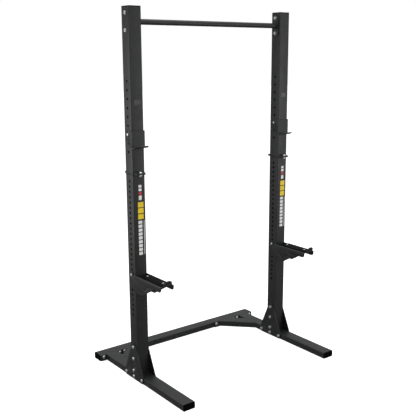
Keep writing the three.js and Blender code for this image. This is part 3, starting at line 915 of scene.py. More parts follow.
@dataclass
class Uprights:
    """The two posts: lower and upper tubes, the plates and bolts that join them, and the top caps.

    Attributes:
        wall: tube wall.
        corner: outer corner radius of the tube.
        lower_drop: top of the lower tube to its highest pin hole.
        lower_pitch: spacing of the lower pin holes.
        lower_count: how many there are.
        upper_rise: bottom of the upper tube to its lowest pin hole.
        upper_pitch: spacing of the upper pin holes.
        upper_count: how many there are.
        tab_width: width of the joint plates' tabs.
        tab_slope: how far out of the tube the shoulders of a joint plate reach.
        tab_corner: corner radius of a tab.
        weld: size of the weld bead under a joint plate.
        weld_round: rounded share of it.
    """

    wall: float = 3 * MM
    corner: float = 5 * MM
    lower_drop: float = 40.7 * MM
    lower_pitch: float = 31.4 * MM
    lower_count: int = 27
    upper_rise: float = 118.4 * MM
    upper_pitch: float = 50 * MM
    upper_count: int = 9
    tab_width: float = 62 * MM
    tab_slope: float = 5.7 * MM
    tab_corner: float = 14 * MM
    weld: float = 2.5 * MM
    weld_round: float = 0.9

    def tube(self, node: str, heights: Sequence[float], bolts: Sequence[Vector]) -> Piece:
        """Make one tube with its pin holes and bolt holes.

        Args:
            node: the CAD node on the right.
            heights: heights of the pin holes.
            bolts: middles of the bolts that pass through it.

        Returns:
            The tube.
        """
        low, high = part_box(node)
        middle = (low + high) / 2
        tube = square_tube(low, high, Axis.Z, self.corner, self.wall)
        bits = bores(node, Axis.X, [Vector((0, middle.y, height)) for height in heights], PIN_HOLE)
        bits += bores(node, Axis.X, [Vector((0, middle.y, bolt.z)) for bolt in bolts])
        return soften(drill(tube, bits), **TUBE_EDGE)

    def joint_plate(self, node: str) -> Piece:
        """Make one plate of the joint, with its two tabs and bolt holes.

        Args:
            node: the CAD node on the right.

        Returns:
            The plate.
        """
        low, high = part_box(node)
        middle = (low + high) / 2
        half = (high.x - low.x) / 2
        half_length = high.y - middle.y
        plate = block((low.x, middle.y - half, low.z), (high.x, middle.y + half, high.z))
        narrow = Vector((self.tab_width / 2 / half, 1, 1))
        for way in (-1, 1):
            shoulder = Vector((0, way * self.tab_slope, 0))
            tab = Vector((0, way * (half_length - half - self.tab_slope), 0))
            draw_out(plate, Vector((0, way, 0)), [(shoulder, narrow, middle), (tab, EVEN, middle)])
        corners = both(along(Axis.Z.way), lambda a, _: abs(abs(a.y - middle.y) - half_length) < TINY)
        round_edges(plate, corners, self.tab_corner, steps=8)
        return soften(drill(plate, bores(node, Axis.Z, bolt_places("joint", JOINT_PLACES))), **PLATE_EDGE)

    def weld_bead(self, tube_node: str, height: float, way: float) -> Piece:
        """Make the bead that ties a tube's end to its joint plate.

        Args:
            tube_node: the CAD node of the tube on the right.
            height: the plate's face that it lies against.
            way: -1 for a bead below that face, 1 for one above it.

        Returns:
            The bead.
        """
        low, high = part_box(tube_node)
        grow = Vector((self.weld, self.weld, 0))
        bottom, top = sorted((height, height + way * self.weld))
        bead = block(Vector((low.x, low.y, bottom)) - grow, Vector((high.x, high.y, top)) + grow)
        round_edges(bead, along(Axis.Z.way), self.corner + self.weld)
        rim = level(Axis.Z.way, height + way * self.weld)
        round_edges(bead, rim, self.weld * self.weld_round, steps=4)
        inset = Vector((PAST, PAST, -PAST))
        core = block(Vector((low.x, low.y, bottom)) + inset, Vector((high.x, high.y, top)) - inset)
        return shade(combine(bead, "DIFFERENCE", [core]), sharp=50)

    def build(self) -> None:
        """Make both posts and hand them over."""
        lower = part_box("lower_upright_right")
        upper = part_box("upper_upright_right")
        lower_holes = [lower[1].z - self.lower_drop - i * self.lower_pitch for i in range(self.lower_count)]
        upper_holes = [upper[0].z + self.upper_rise + i * self.upper_pitch for i in range(self.upper_count)]
        tube = self.tube("lower_upright_right", lower_holes, bolt_places("gusset", POST_PLACES))
        hand_over_pair(tube, "lower_post", POWDER_COAT, node="lower_upright")
        tube = self.tube("upper_upright_right", upper_holes, bolt_places("bar", BAR_PLACES))
        hand_over_pair(tube, "upper_post", POWDER_COAT, node="upper_upright")
        for plate in ("lower_joint_flange", "upper_joint_flange"):
            hand_over_pair(self.joint_plate(f"{plate}_right"), f"{plate}_plate", PLATE_COAT, node=plate)
        below = self.weld_bead("lower_upright_right", lower[1].z, -1)
        above = self.weld_bead("upper_upright_right", upper[0].z, 1)
        hand_over_pair(join([below, above]), "joint_welds", POWDER_COAT)
        bolt = Bolt(head_radius=10.6 * MM, nut_radius=10.6 * MM, nut_height=7 * MM, domed=False)
        bolt.build("joint", JOINT_PLACES, Axis.Z, CHROME)
        EndCap("top_cap", Axis.Z, 1).build("post_top_plug")


@dataclass
class Base:
    """The floor frame: feet, crossmember, corner braces, their bolted plates, caps and bolts.

    Attributes:
        wall: tube wall.
        corner: outer corner radius of the tubes.
        plate_corner: corner radius of the bolted plates.
        bolt_height: height of the plate bolts.
        foot_bolts: how far the foot plate's bolts are from the foot's axis.
        brace_bolts: from the outer and the inner edge of the brace plate to its bolts.
        spare_holes: from the middle of the crossmember to its spare holes.
        spare_height: height of the spare holes.
        spare_radius: radius of the spare holes.
    """

    wall: float = 3 * MM
    corner: float = 4 * MM
    plate_corner: float = 8 * MM
    bolt_height: float = 26 * MM
    foot_bolts: float = 60 * MM
    brace_bolts: tuple[float, float] = (12.3 * MM, 17 * MM)
    spare_holes: tuple[float, float] = (180 * MM, 221 * MM)
    spare_height: float = 27 * MM
    spare_radius: float = 4.5 * MM

    def foot(self) -> Piece:
        """Make the right foot with its bolt holes, and give it back."""
        low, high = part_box("foot_right")
        tube = square_tube(low, high, Axis.Y, self.corner, self.wall)
        bits = bores("foot_right", Axis.X, bolt_places("gusset", FOOT_PLACES))
        return soften(drill(tube, bits), **TUBE_EDGE)

    def plate(self, node: str, bolts: Sequence[float]) -> Piece:
        """Make a bolted plate.

        Args:
            node: the CAD node on the right.
            bolts: where its bolts are, along X.

        Returns:
            The plate.
        """
        low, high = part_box(node)
        plate = round_edges(block(low, high), along(Axis.Y.way), self.plate_corner)
        bits = bores(node, Axis.Y, [Vector((x, 0, self.bolt_height)) for x in bolts])
        return soften(drill(plate, bits), **PLATE_EDGE)

    def brace(self) -> Piece:
        """Make the right brace: a flat tube laid at 45 degrees and trimmed against its neighbours."""
        low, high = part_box("brace_right")
        size = high - low
        half = Vector((BRACE_WIDTH / 2, 2 * size.x, size.z / 2))
        tube = square_tube(-half, half, Axis.Y, self.corner, self.wall)
        tube.rotation_euler.z = math.pi / 4
        tube.location = (high.x, low.y + BRACE_WIDTH / math.sqrt(2), (low.z + high.z) / 2)
        settle(tube)
        keep = block(low - Vector((PAST, PAST, size.z)), high + Vector((0, 0, size.z)))
        return soften(combine(tube, "INTERSECT", [keep]), **TUBE_EDGE)

    def crossmember(self, bolts: Sequence[float]) -> Piece:
        """Make the crossmember with the holes in its front wall.

        Args:
            bolts: where the right-hand bolts are, along X.

        Returns:
            The crossmember.
        """
        low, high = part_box("crossmember")
        tube = square_tube(low, high, Axis.X, self.corner, self.wall)
        holes = [(x, self.bolt_height, BOLT_HOLE) for x in bolts]
        holes += [(x, self.spare_height, self.spare_radius) for x in self.spare_holes]
        bits = []
        for sign in (-1, 1):
            for x, height, radius in holes:
                place = (sign * x, low.y - self.wall, height)
                bits.append(rod(Axis.Y, place, 3 * self.wall, radius, HOLE_SIDES))
        return soften(drill(tube, bits), **TUBE_EDGE)

    def build(self) -> None:
        """Make the base and hand it over."""
        foot_axis = middle_of("foot_right").x
        low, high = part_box("brace_plate_right")
        on_foot = [foot_axis - self.foot_bolts, foot_axis + self.foot_bolts]
        on_brace = [high.x - self.brace_bolts[0], low.x + self.brace_bolts[1]]
        hand_over_pair(self.foot(), "foot_tube", POWDER_COAT, node="foot")
        EndCap("foot_cap", Axis.Y, -1).build("foot_plug")
        foot_plate = self.plate("foot_plate_right", on_foot)
        hand_over_pair(foot_plate, "foot_end_plate", PLATE_COAT, node="foot_plate")
        hand_over_pair(self.brace(), "corner_brace", POWDER_COAT, node="brace")
        brace_plate = self.plate("brace_plate_right", on_brace)
        hand_over_pair(brace_plate, "brace_end_plate", PLATE_COAT, node="brace_plate")
        beam = self.crossmember(on_foot + on_brace)
        hand_over(beam, "rear_crossmember", POWDER_COAT, FRAME_BODY, ["crossmember"])
        EndCap("crossmember_cap", Axis.X, 1).build("crossmember_plug")
        for number, x in enumerate(on_foot + on_brace, 1):
            seat = Vector((x, low.y, self.bolt_height))
            hand_over_pair(join(Bolt().head(seat, Axis.Y, -1)), f"base_bolt_{number}", ZINC)


@dataclass
class Gussets:
    """The bolted side plates that tie each upright to its foot.

    Attributes:
        shoulder: height at which the plate starts to taper.
        top_radius: radius of the rounded top.
        top_share: how much of the way to each other its two rounds reach, below 1 so that they don't meet.
        corner: size of the cut bottom corners.
    """

    shoulder: float = 44 * MM
    top_radius: float = 25 * MM
    top_share: float = 0.99
    corner: float = 10 * MM

    def plate(self, node: str) -> Piece:
        """Make one gusset plate with its bolt holes.

        Args:
            node: the CAD node on the right.

        Returns:
            The plate.
        """
        low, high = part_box(node)
        middle = (low + high) / 2
        half = (high.y - low.y) / 2
        centre = high.z - self.top_radius
        # The slope touches the top round, so it is a little steeper than the line to that round's centre.
        reach = math.hypot(half, centre - self.shoulder)
        slope = math.atan2(half, centre - self.shoulder) - math.asin(self.top_radius / reach)
        plate = block(low, high)
        for way in (-1, 1):
            edge = (middle.x, middle.y + way * half, self.shoulder)
            slice_off(plate, edge, (0, way * math.cos(slope), math.sin(slope)))
        tangent = self.top_radius * math.tan((QUARTER - slope) / 2)
        across = along(Axis.X.way)
        round_edges(plate, both(across, level(Axis.Z.way, high.z)), tangent * self.top_share, steps=8)
        round_edges(plate, both(across, level(Axis.Z.way, low.z)), self.corner, steps=1)
        bits = bores(node, Axis.X, bolt_places("gusset", GUSSET_PLACES))
        return soften(drill(plate, bits), **PLATE_EDGE)

    def build(self) -> None:
        """Make the gussets and their bolts and hand them over."""
        for side in ("outer", "inner"):
            plate = self.plate(f"gusset_{side}_right")
            hand_over_pair(plate, f"gusset_plate_{side}", PLATE_COAT, node=f"gusset_{side}")
        Bolt().build("gusset", GUSSET_PLACES, Axis.X, ZINC)


@dataclass
class PullUpBar:
    """The round bar between the uprights, with its welded plates and their bolts.

    Attributes:
        wall: wall of the bar.
        plate_corner: corner radius of the plates.
        weld: size of the weld bead round the bar's end.
    """

    wall: float = 2.5 * MM
    plate_corner: float = 20 * MM
    weld: float = 2.5 * MM

    def bar(self) -> Piece:
        """Make the bar as a round tube, and give it back."""
        low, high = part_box("pull_up_bar")
        middle = (low + high) / 2
        radius = (high.z - low.z) / 2
        tube = rod(Axis.X, (low.x, middle.y, middle.z), high.x - low.x, radius, FINE_ROUND)
        return shade(hollow(tube, Axis.X, self.wall))

    def plate(self) -> Piece:
        """Make the right bar plate with its bolt holes, and give it back."""
        low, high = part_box("bar_plate_right")
        plate = round_edges(block(low, high), along(Axis.X.way), self.plate_corner, steps=10)
        bits = bores("bar_plate_right", Axis.X, bolt_places("bar", BAR_PLACES))
        return soften(drill(plate, bits), **PLATE_EDGE)

    def bead(self) -> Piece:
        """Make the weld bead round the bar's right end, and give it back."""
        low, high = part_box("pull_up_bar")
        deselect()
        bpy.ops.mesh.primitive_torus_add(
            major_radius=(high.z - low.z) / 2,
            minor_radius=self.weld,
            major_segments=FINE_ROUND,
            minor_segments=10,
        )
        bead = bpy.context.active_object
        bead.rotation_euler.y = QUARTER
        bead.location = (high.x - self.weld / 2, (low.y + high.y) / 2, (low.z + high.z) / 2)
        return shade(settle(bead), sharp=60)

    def build(self) -> None:
        """Make the bar and its fixings and hand them over."""
        hand_over(self.bar(), "round_bar", POWDER_COAT, FRAME_BODY, ["pull_up_bar"])
        hand_over_pair(self.plate(), "bar_end_plate", PLATE_COAT, node="bar_plate")
        hand_over_pair(self.bead(), "bar_weld", POWDER_COAT)
        Bolt().build("bar", BAR_PLACES, Axis.X, ZINC)


@dataclass
class BracketPin:
    """A removable pin: a low rounded head with a hexagon socket, and a turned shank with a rounded tip.

    Attributes:
        radius: radius of the shank.
        head: length of the head.
        tip: round at the tip's edge.
        rim: round at the head's edge.
        socket: radius of the hexagon socket.
        socket_depth: how deep it is.
    """

    radius: float = 7 * MM
    head: float = 4 * MM
    tip: float = 1.6 * MM
    rim: float = 1.8 * MM
    socket: float = 3.5 * MM
    socket_depth: float = 2.5 * MM

    def pin(self, node: str) -> Piece:
        """Make a pin.

        Args:
            node: the CAD node on the right.

        Returns:
            The pin.
        """
        low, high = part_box(node)
        middle = (low + high) / 2
        shank = rod(Axis.X, (low.x, middle.y, middle.z), high.x - low.x - self.head, self.radius)
        round_edges(shank, level(Axis.X.way, low.x), self.tip, steps=3)
        head = rod(Axis.X, (high.x - self.head, middle.y, middle.z), self.head, (high.z - low.z) / 2)
        round_edges(head, level(Axis.X.way, high.x), self.rim, steps=4)
        floor = (high.x - self.socket_depth, middle.y, middle.z)
        socket = rod(Axis.X, floor, 2 * self.socket_depth, self.socket, HEXAGON)
        return join([shade(shank), shade(drill(head, [socket]))])


@dataclass
class BarHooks:
    """The long hooks on the lower tubes: a welded bracket, its wear strip, screws and pin.

    Attributes:
        plate: thickness of the bracket's sheet.
        ear: radius of the round ear about the pin.
        top: top of the shelf above the pin.
        rear: foot of the straight rear edge below the pin.
        keel: rear end of the flat underside, in front of the pin.
        fold: outer radius of the fold between the shelf and a side plate.
        lobe: the side plate's lowest round, forward of and below the pin.
        lobe_radius: radius of that round.
        slant: slope of the underside in front of it, in degrees.
        nose_depth: top of the shelf to the underside of the front end.
        nose_radius: radius of the front end's lower corner.
        hole: radius of the side holes.
        hole_pitch: spacing of the side holes along the slope.
        slot: half length of the slotted one.
        bend: pin to where the shelf starts to turn up.
        bend_radius: inner radius of that bend.
        lean: how far the tongue leans forward, in degrees.
        tongue: length of the tongue's straight part.
        tongue_radius: radius of its round end.
        heel: top and bottom of the heel below the pin.
        heel_thickness: thickness of the heel.
        heel_gap: gap between the tube and the heel.
        strip_round: round at the wear strip's top edges.
        strip_edge: its other broken edges.
        screws: how far in front of the pin the screws are.
        screw_hole: radius of their holes.
        screw_head: radius and height of a screw's head.
        screw_rim: round at the head's edge.
        screw_cross: half length and half width of an arm of the cross recess.
        screw_floor: the seat to the recess's floor.
        screw_shank: radius and length of the shank.
        pin: middle of the hook's pin.
    """

    plate: float = 4 * MM
    ear: float = 19 * MM
    top: float = 4 * MM
    rear: float = 52 * MM
    keel: float = 40 * MM
    fold: float = 3.5 * MM
    lobe: tuple[float, float] = (107 * MM, 75 * MM)
    lobe_radius: float = 26 * MM
    slant: float = 29.6
    nose_depth: float = 33 * MM
    nose_radius: float = 18 * MM
    hole: float = 5.5 * MM
    hole_pitch: float = 45.5 * MM
    slot: float = 9 * MM
    bend: float = 305 * MM
    bend_radius: float = 8 * MM
    lean: float = 25.0
    tongue: float = 34 * MM
    tongue_radius: float = 29 * MM
    heel: tuple[float, float] = (35 * MM, 73 * MM)
    heel_thickness: float = 5 * MM
    heel_gap: float = 0.5 * MM
    strip_round: float = 1.8 * MM
    strip_edge: float = 0.3 * MM
    screws: tuple[float, float] = (108 * MM, 270 * MM)
    screw_hole: float = 3.2 * MM
    screw_head: tuple[float, float] = (6.5 * MM, 3 * MM)
    screw_rim: float = 2.2 * MM
    screw_cross: tuple[float, float] = (3.2 * MM, 0.6 * MM)
    screw_floor: float = 1.6 * MM
    screw_shank: tuple[float, float] = (2.9 * MM, 12 * MM)
    pin: Vector = field(default_factory=lambda: middle_of("hook_pin_right"))

    def at(self, forward: float, up: float, x: float = 0.0) -> Vector:
        """A point this far in front of the pin, above it, and at this X."""
        return Vector((x, self.post_axis().y - forward, self.pin.z + up))

    def post_axis(self) -> Vector:
        """Middle of the lower tube that the hook wraps."""
        return middle_of("lower_upright_right")

    def lengthen(self, plate: Piece, run: float, lift: float) -> None:
        """Draw one end of a side plate out along Y and move its lower edge.

        Args:
            plate: the plate.
            run: how far the end moves, which also says which end it is.
            lift: how far the end's lower edge rises.
        """
        with editing(plate, "FACE"):
            pick_faces(plate, facing(Vector((0, math.copysign(1, run), 0))))
            bpy.ops.mesh.extrude_region_move(TRANSFORM_OT_translate={"value": (0, run, 0)})
        stations = [vertex.co.y for vertex in plate.data.vertices]
        end = max(stations) if run > 0 else min(stations)
        upper = self.pin.z + self.top
        with editing(plate):
            pick_edges(plate, both(level(Axis.Y.way, end), lambda a, b: max(a.z, b.z) < upper - TINY))
            bpy.ops.transform.translate(value=(0, 0, lift))

    def side_plate(self, start: float, outer: float) -> Piece:
        """Make one side plate of the bracket, folded over from the shelf.

        Args:
            start: X of the face nearer the left.
            outer: X of the face that looks away from the tube.

        Returns:
            The plate, with its holes.
        """
        axis_y = self.post_axis().y
        slant = math.radians(self.slant)
        slope = Vector((-math.cos(slant), math.sin(slant)))
        lobe = Vector((-self.lobe[0], -self.lobe[1]))
        touch = lobe - Vector((math.sin(slant), math.cos(slant))) * self.lobe_radius
        bottom = lobe.y - self.lobe_radius
        under = self.top - self.nose_depth
        keel, nose = (touch + slope * ((height - touch.y) / slope.y) for height in (bottom, under))
        low = (start, axis_y + keel.x, self.pin.z + bottom)
        plate = block(low, (start + self.plate, axis_y - self.keel, self.pin.z + self.top))
        self.lengthen(plate, self.keel + self.ear, -self.rear - bottom)
        self.lengthen(plate, nose.x - keel.x, under - bottom)
        self.lengthen(plate, -HOOK_REACH - nose.x, 0)
        tangent = self.lobe_radius * math.tan(slant / 2)
        corners = [(axis_y + keel.x, bottom, tangent), (axis_y - HOOK_REACH, under, self.nose_radius)]
        for y, up, radius in corners:
            at_corner = both(level(Axis.Y.way, y), level(Axis.Z.way, self.pin.z + up))
            round_edges(plate, at_corner, radius, steps=8)
        at_fold = both(level(Axis.X.way, outer), level(Axis.Z.way, self.pin.z + self.top))
        round_edges(plate, at_fold, self.fold, steps=5)
        ear = rod(Axis.X, (start, axis_y, self.pin.z), self.plate, self.ear, EAR_SIDES)
        combine(plate, "UNION", [ear])
        near, reach = start - PAST, self.plate + 2 * PAST
        holes = self.hole_places(lobe, slope)
        bits = [rod(Axis.X, self.at(y, z, near), reach, radius, HOLE_SIDES) for y, z, radius in holes]
        drill(plate, bits)
        forward, up = self.lobe[0], -self.lobe[1]
        shift = self.slot - self.hole
        ends = [self.at(forward, up + way * shift, near) for way in (-1, 1)]
        slot = [rod(Axis.X, end, reach, self.hole, HOLE_SIDES) for end in ends]
        slot_low = self.at(forward + self.hole, up - shift, near)
        slot_high = self.at(forward - self.hole, up + shift, near + reach)
        return combine(plate, "DIFFERENCE", [*slot, block(slot_low, slot_high)])

    def hole_places(self, lobe: Vector, slope: Vector) -> list[tuple[float, float, float]]:
        """List the round holes of a side plate.

        Args:
            lobe: middle of the lobe, forward (negative) and up from the pin.
            slope: unit vector along the slanted underside.

        Returns:
            How far each hole is in front of the pin and above it, and its radius.
        """
        along_slope = [lobe + slope * step * self.hole_pitch for step in (1, 2)]
        return [(-p.x, p.y, self.hole) for p in along_slope] + [(0.0, 0.0, PIN_HOLE)]

    def shelf(self, half: float) -> Piece:
        """Make the shelf and the tongue that it turns up into.

        Args:
            half: half the shelf's width.

        Returns:
            The shelf.
        """
        x = self.post_axis().x
        _, liner_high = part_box("hook_liner_right")
        rear = self.post_axis().y - liner_high.y - SHELF_REAR
        shelf = block(self.at(self.bend, self.top - self.plate, x - half), self.at(rear, self.top, x + half))
        centre = self.at(self.bend, self.top + self.bend_radius, x)
        lean = math.radians(self.lean)
        with editing(shelf, "FACE"):
            pick_faces(shelf, facing(Vector((0, -1, 0))))
            curl(centre, QUARTER - lean, steps=8)
            rise = Vector((0, -math.sin(lean), math.cos(lean))) * self.tongue
            bpy.ops.mesh.extrude_region_move(TRANSFORM_OT_translate={"value": rise})
        low = self.at(2 * self.bend, self.top - self.plate - PAST, x - half)
        keep = block(low, self.at(0, self.top + PAST, x + half))
        dome_start = self.at(2 * self.bend, self.tip_height() - self.tongue_radius, x)
        dome = rod(Axis.Y, dome_start, 2 * self.bend, self.tongue_radius, FINE_ROUND)
        combine(keep, "UNION", [dome])
        return combine(shade(shelf), "INTERSECT", [keep])

    def tip_height(self) -> float:
        """Height of the tongue's inner top edge above the pin."""
        lean = math.radians(self.lean)
        return self.top + self.bend_radius * (1 - math.sin(lean)) + self.tongue * math.cos(lean)

    def bracket(self) -> Piece:
        """Make the right bracket as one welded piece, and give it back."""
        low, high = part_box("hook_right")
        x = self.post_axis().x
        half = (high.x - low.x) / 2
        inner = half - self.plate
        bracket = self.side_plate(x + inner, x + half)
        into = inner + PAST / 2  # a little into the side plates, so that they weld
        parts = [self.side_plate(x - half, x - half), self.shelf(into)]
        face = HALF_TUBE + self.heel_gap
        heel_low = self.at(face + self.heel_thickness, -self.heel[1], x - into)
        heel = block(heel_low, self.at(face, -self.heel[0], x + into))
        combine(bracket, "UNION", [*parts, heel])
        return soften(bracket, **BRACKET_EDGE)

    def liner(self) -> Piece:
        """Make the wear strip with its rounded top edges and screw holes, and give it back."""
        low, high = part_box("hook_liner_right")
        strip = block(low, high)
        round_edges(strip, level(Axis.Z.way, high.z), self.strip_round, steps=4)
        places = [self.at(forward, 0, (low.x + high.x) / 2) for forward in self.screws]
        bits = bores("hook_liner_right", Axis.Z, places, self.screw_hole)
        return soften(drill(strip, bits), self.strip_edge, 1)

    def screw(self, forward: float) -> Piece:
        """Make a pan-head screw in the wear strip.

        Args:
            forward: how far in front of the pin it is.

        Returns:
            The screw.
        """
        _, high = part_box("hook_liner_right")
        seat = Vector((self.post_axis().x, self.post_axis().y - forward, high.z))
        radius, height = self.screw_head
        head = rod(Axis.Z, seat, height, radius)
        round_edges(head, level(Axis.Z.way, seat.z + height), self.screw_rim, steps=4)
        arm = Vector((*self.screw_cross, 0))
        floor, top = (seat + Axis.Z.way * rise for rise in (self.screw_floor, height + PAST))
        combine(head, "DIFFERENCE", [block(floor - way, top + way) for way in (arm, arm.yxz)])
        radius, length = self.screw_shank
        shank = rod(Axis.Z, seat - Axis.Z.way * length, length, radius, HOLE_SIDES)
        return shade(join([head, shank]))

    def build(self) -> None:
        """Make the hooks and hand them over."""
        hand_over_pair(self.bracket(), "hook_bracket", PLATE_COAT, "hook", "hook")
        hand_over_pair(self.liner(), "hook_wear_strip", LINER_PLASTIC, "hook", "hook_liner")
        for place, forward in zip(("rear", "front"), self.screws):
            hand_over_pair(self.screw(forward), f"hook_screw_{place}", ZINC, "hook")
        hand_over_pair(BracketPin().pin("hook_pin_right"), "hook_hinge_pin", CHROME, "hook_pin", "hook_pin")


@dataclass
class BarCups:
    """The short cups on the upper tubes: a folded plate round the tube, with a curled lip in front.

    Attributes:
        plate: thickness of the sheet.
        top: top edge above the pin.
        bottom: bottom edge below the pin.
        rear: rear edge behind the pin.
        foot: rear end of the side plates' bottom edge, in front of the pin.
        chamfer: cut top rear corner.
        lip_flat: front plate to where the lip starts to curl.
        lip_radius: outer radius of the curl.
        lip_sweep: how far the lip curls, in degrees.
        fold: outer radius of the folded corners.
    """

    plate: float = 4 * MM
    top: float = 22 * MM
    bottom: float = 76 * MM
    rear: float = 17 * MM
    foot: float = 30 * MM
    chamfer: float = 7 * MM
    lip_flat: float = 13 * MM
    lip_radius: float = 30 * MM
    lip_sweep: float = 53.0
    fold: float = 3.5 * MM

    def cup(self) -> Piece:
        """Make the right cup, and give it back."""
        low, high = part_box("cup_right")
        pin = middle_of("cup_pin_right")
        axis_y = middle_of("upper_upright_right").y
        front = axis_y - (high.x - low.x) / 2
        bottom = pin.z - self.bottom
        shell = block((low.x, front, bottom), (high.x, axis_y + self.rear, pin.z + self.top))
        round_edges(shell, both(along(Axis.Z.way), level(Axis.Y.way, front)), self.fold, steps=5)
        self.trim_sides(shell, pin, axis_y)
        hollow_low = (low.x + self.plate, front + self.plate, bottom - PAST)
        hollow_high = (high.x - self.plate, high.y + PAST, pin.z + self.top + PAST)
        combine(shell, "DIFFERENCE", [block(hollow_low, hollow_high)])
        combine(shell, "UNION", [self.lip(low.x, high.x, front, bottom)])
        return soften(drill(shell, bores("cup_right", Axis.X, [pin], PIN_HOLE)), **BRACKET_EDGE)

    def trim_sides(self, shell: Piece, pin: Vector, axis_y: float) -> None:
        """Cut the rear corners off the side plates.

        Args:
            shell: the folded plate while it is still solid.
            pin: middle of the cup's pin.
            axis_y: Y of the tube's axis.
        """
        rise, run = self.bottom - self.top, self.rear + self.foot
        slice_off(shell, (0, axis_y + self.rear, pin.z - self.top), (0, rise, -run))
        slice_off(shell, (0, axis_y + self.rear, pin.z + self.top - self.chamfer), (0, 1, 1))

    def lip(self, left: float, right: float, front: float, bottom: float) -> Piece:
        """Make the lip that carries the bar.

        Args:
            left: X of its left edge.
            right: X of its right edge.
            front: Y of the front plate's face.
            bottom: height of the lip's underside.

        Returns:
            The lip.
        """
        start = front - self.lip_flat
        lip = block((left, start, bottom), (right, front + self.plate / 2, bottom + self.plate))
        centre = (left, start, bottom + self.lip_radius)
        with editing(lip, "FACE"):
            pick_faces(lip, facing(Vector((0, -1, 0))))
            curl(centre, math.radians(self.lip_sweep), steps=10)
        return shade(lip)

    def build(self) -> None:
        """Make the cups and hand them over."""
        hand_over_pair(self.cup(), "cup_bracket", PLATE_COAT, FRAME_BODY, "cup")
        hand_over_pair(BracketPin().pin("cup_pin_right"), "cup_lock_pin", CHROME, "cup_pin", "cup_pin")


@dataclass(frozen=True)
class Mark:
    """A row of blank cut-vinyl strokes, one above another, on the front face of both posts.

    Attributes:
        name: its name.
        node: start of the name of the CAD node that it is stuck to.
        height: bottom and top of the row.
        width: its width.
        finish: its film.
        strokes: how many strokes it has.
        shift: how far its middle is from the post's, towards +X.
    """

    name: str
    node: str
    height: tuple[float, float]
    width: float
    finish: Finish
    strokes: int = 1
    shift: float = 0.005

    def build(self) -> None:
        """Make the mark on both posts and hand it over."""
        bottom, top = self.height
        step = (top - bottom + STROKE_GAP) / self.strokes
        for side in ("left", "right"):
            low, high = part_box(f"{self.node}_{side}")
            start = (low.x + high.x) / 2 + self.shift - self.width / 2
            rounding = min(FILM_CORNER, self.width / 4)
            films = []
            for foot in (bottom + number * step for number in range(self.strokes)):
                corner = (start, low.y - FILM[1], foot)
                far = (start + self.width, low.y - FILM[0], foot + step - STROKE_GAP)
                films.append(shade(round_edges(block(corner, far), along(Axis.Y.way), rounding, steps=4)))
            hand_over(join(films), f"{self.name}_{side}", self.finish, FRAME_BODY, [])


MARKS = [
    Mark("mark_small_high", "lower_upright", (1.180, 1.216), 0.020, WHITE_VINYL, 2),
    Mark("mark_small_middle", "lower_upright", (1.158, 1.175), 0.020, RED_VINYL),
    Mark("mark_small_low", "lower_upright", (1.128, 1.153), 0.020, WHITE_VINYL),
    Mark("mark_wide", "lower_upright", (1.013, 1.115), 0.038, YELLOW_VINYL, 3, 0.007),
    Mark("mark_row", "lower_upright", (0.797, 1.004), 0.026, WHITE_VINYL, 9, 0.002),
    Mark("mark_line", "lower_upright", (0.797, 1.004), 0.004, WHITE_VINYL, 1, 0.028),
    Mark("blank_label", "upper_upright", (1.677, 1.703), 0.040, LABEL_FILM, 1, 0),
]


# ---------------------------------------------------------------- studio


@dataclass(frozen=True)
class Softbox:
    """A large soft light that the camera doesn't see.

    Attributes:
        name: its name.
        place: where it hangs.
        aim: the point that it looks at.
        size: its width and height.
        power: its power in watts.
    """

    name: str
    place: tuple[float, float, float]
    aim: tuple[float, float, float]
    size: tuple[float, float]
    power: float

    def build(self) -> None:
        """Hang the light."""
        deselect()
        bpy.ops.object.light_add(type="AREA", location=self.place)
        lamp = bpy.context.active_object
        lamp.name = self.name
        lamp.data.shape = "RECTANGLE"
        lamp.data.size, lamp.data.size_y = self.size
        lamp.data.energy = self.power
        lamp.rotation_euler = (Vector(self.aim) - Vector(self.place)).to_track_quat("-Z", "Y").to_euler()
        lamp.visible_camera = False
        log.info("%s: %.0f W", self.name, self.power)


SOFTBOXES = [
    Softbox("softbox_left", (-1.9, 0.75, 1.25), (-0.6, 0.04, 1.3), (1.2, 1.6), 15),
    Softbox("softbox_front", (-1.5, -4.5, 3.0), (0, 0, 1.4), (3.0, 2.5), 45),
    Softbox("softbox_right", (2.8, -3.4, 1.2), (0.2, 0, 1.2), (2.4, 2.2), 36),
    Softbox("softbox_top", (0, 0, 5.0), (0, 0, 0), (5.0, 5.0), 90),
]


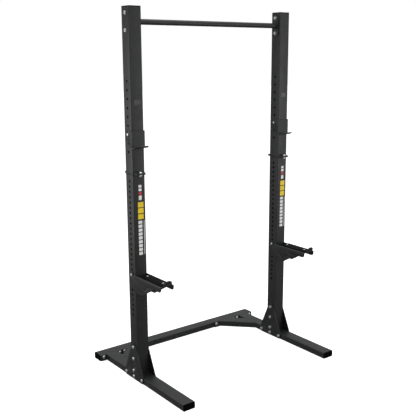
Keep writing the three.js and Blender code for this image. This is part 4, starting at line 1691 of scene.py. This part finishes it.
@dataclass
class Studio:
    """The floor, the light and the camera.

    Attributes:
        azimuth: the camera's direction round the rack, in degrees.
        elevation: its height above the horizon, in degrees.
        roll: its tilt about its own line of sight, in degrees.
        distance: how far it is from the point that it looks at.
        aim: that point.
        lens: focal length, in mm.
        sensor: width of the sensor, in mm.
        floor_size: side of the square floor.
        sky_light: how strongly the white surroundings light the rack from above.
        ground_light: how strongly they light it from below.
        dusk: height of the direction where their light starts to rise, and where it is full.
        glow: how strongly the floor shines back.
    """

    azimuth: float = -37.536
    elevation: float = 12.439
    roll: float = -0.181
    distance: float = 4.414
    aim: tuple[float, float, float] = (-0.0335, 0.0425, 1.0009)
    lens: float = 60.24
    sensor: float = 36.0
    floor_size: float = 60.0
    sky_light: float = 0.9
    ground_light: float = 0.25
    dusk: tuple[float, float] = (-0.1, 0.9)
    glow: float = 0.55

    def camera(self) -> None:
        """Set up the camera."""
        turn, lift, tilt = (math.radians(a) for a in (self.azimuth, self.elevation, self.roll))
        back = Vector((math.sin(turn) * math.cos(lift), -math.cos(turn) * math.cos(lift), math.sin(lift)))
        right = Vector((math.cos(turn), math.sin(turn), 0))
        up = back.cross(right)
        across = right * math.cos(tilt) + up * math.sin(tilt)
        deselect()
        bpy.ops.object.camera_add(location=Vector(self.aim) + back * self.distance)
        camera = bpy.context.active_object
        camera.name = "studio_camera"
        turned = Matrix((across, back.cross(across), back)).transposed()
        camera.rotation_euler = turned.to_euler()
        camera.data.lens = self.lens
        camera.data.sensor_width = self.sensor
        bpy.context.scene.camera = camera

    def floor(self) -> None:
        """Lay the plain floor."""
        deselect()
        bpy.ops.mesh.primitive_plane_add(size=self.floor_size)
        floor = bpy.context.active_object
        floor.name = "studio_floor"
        made = bpy.data.materials.new("matt_white_paper")
        made.use_nodes = True
        shader = made.node_tree.nodes["Principled BSDF"]
        paper = {"Base Color": linear("f2f2f2"), "Roughness": 0.9, "Specular IOR Level": 0.1}
        shine = {"Emission Color": linear("ffffff"), "Emission Strength": self.glow}
        for key, value in (paper | shine).items():
            shader.inputs[key].default_value = value
        floor.data.materials.append(made)
        floor.visible_diffuse = False
        floor.visible_glossy = False

    def sky(self) -> None:
        """Surround the rack with even white light."""
        world = bpy.data.worlds.new("white_studio")
        world.use_nodes = True
        tree = world.node_tree
        tree.nodes.clear()
        white = {"Color": (1, 1, 1, 1)}
        way = add_node(tree, "ShaderNodeTexCoord", {}, {}).outputs["Generated"]
        height = add_node(tree, "ShaderNodeSeparateXYZ", {}, {"Vector": way}).outputs["Z"]
        limits = dict(zip(("From Min", "From Max"), self.dusk))
        limits |= {"To Min": self.ground_light, "To Max": self.sky_light}
        strength = add_node(tree, "ShaderNodeMapRange", limits, {"Value": height}).outputs["Result"]
        light = add_node(tree, "ShaderNodeBackground", white, {"Strength": strength})
        seen = add_node(tree, "ShaderNodeBackground", {**white, "Strength": 1.0}, {})
        ray = add_node(tree, "ShaderNodeLightPath", {}, {}).outputs["Is Camera Ray"]
        mixed = add_node(tree, "ShaderNodeMixShader", {}, {0: ray, 1: light.outputs[0], 2: seen.outputs[0]})
        add_node(tree, "ShaderNodeOutputWorld", {}, {"Surface": mixed.outputs[0]})
        bpy.context.scene.world = world

    def build(self) -> None:
        """Make the whole studio."""
        self.camera()
        self.floor()
        self.sky()
        for softbox in SOFTBOXES:
            softbox.build()
        bpy.context.scene.view_settings.view_transform = "Standard"


def main() -> None:
    """Build the studio and the rack."""
    logging.basicConfig(level=logging.INFO, format="%(message)s")
    assemblies = [Studio(), Uprights(), Base(), Gussets(), PullUpBar(), BarHooks(), BarCups(), *MARKS]
    for assembly in assemblies:
        assembly.build()


if __name__ == "__main__":
    main()
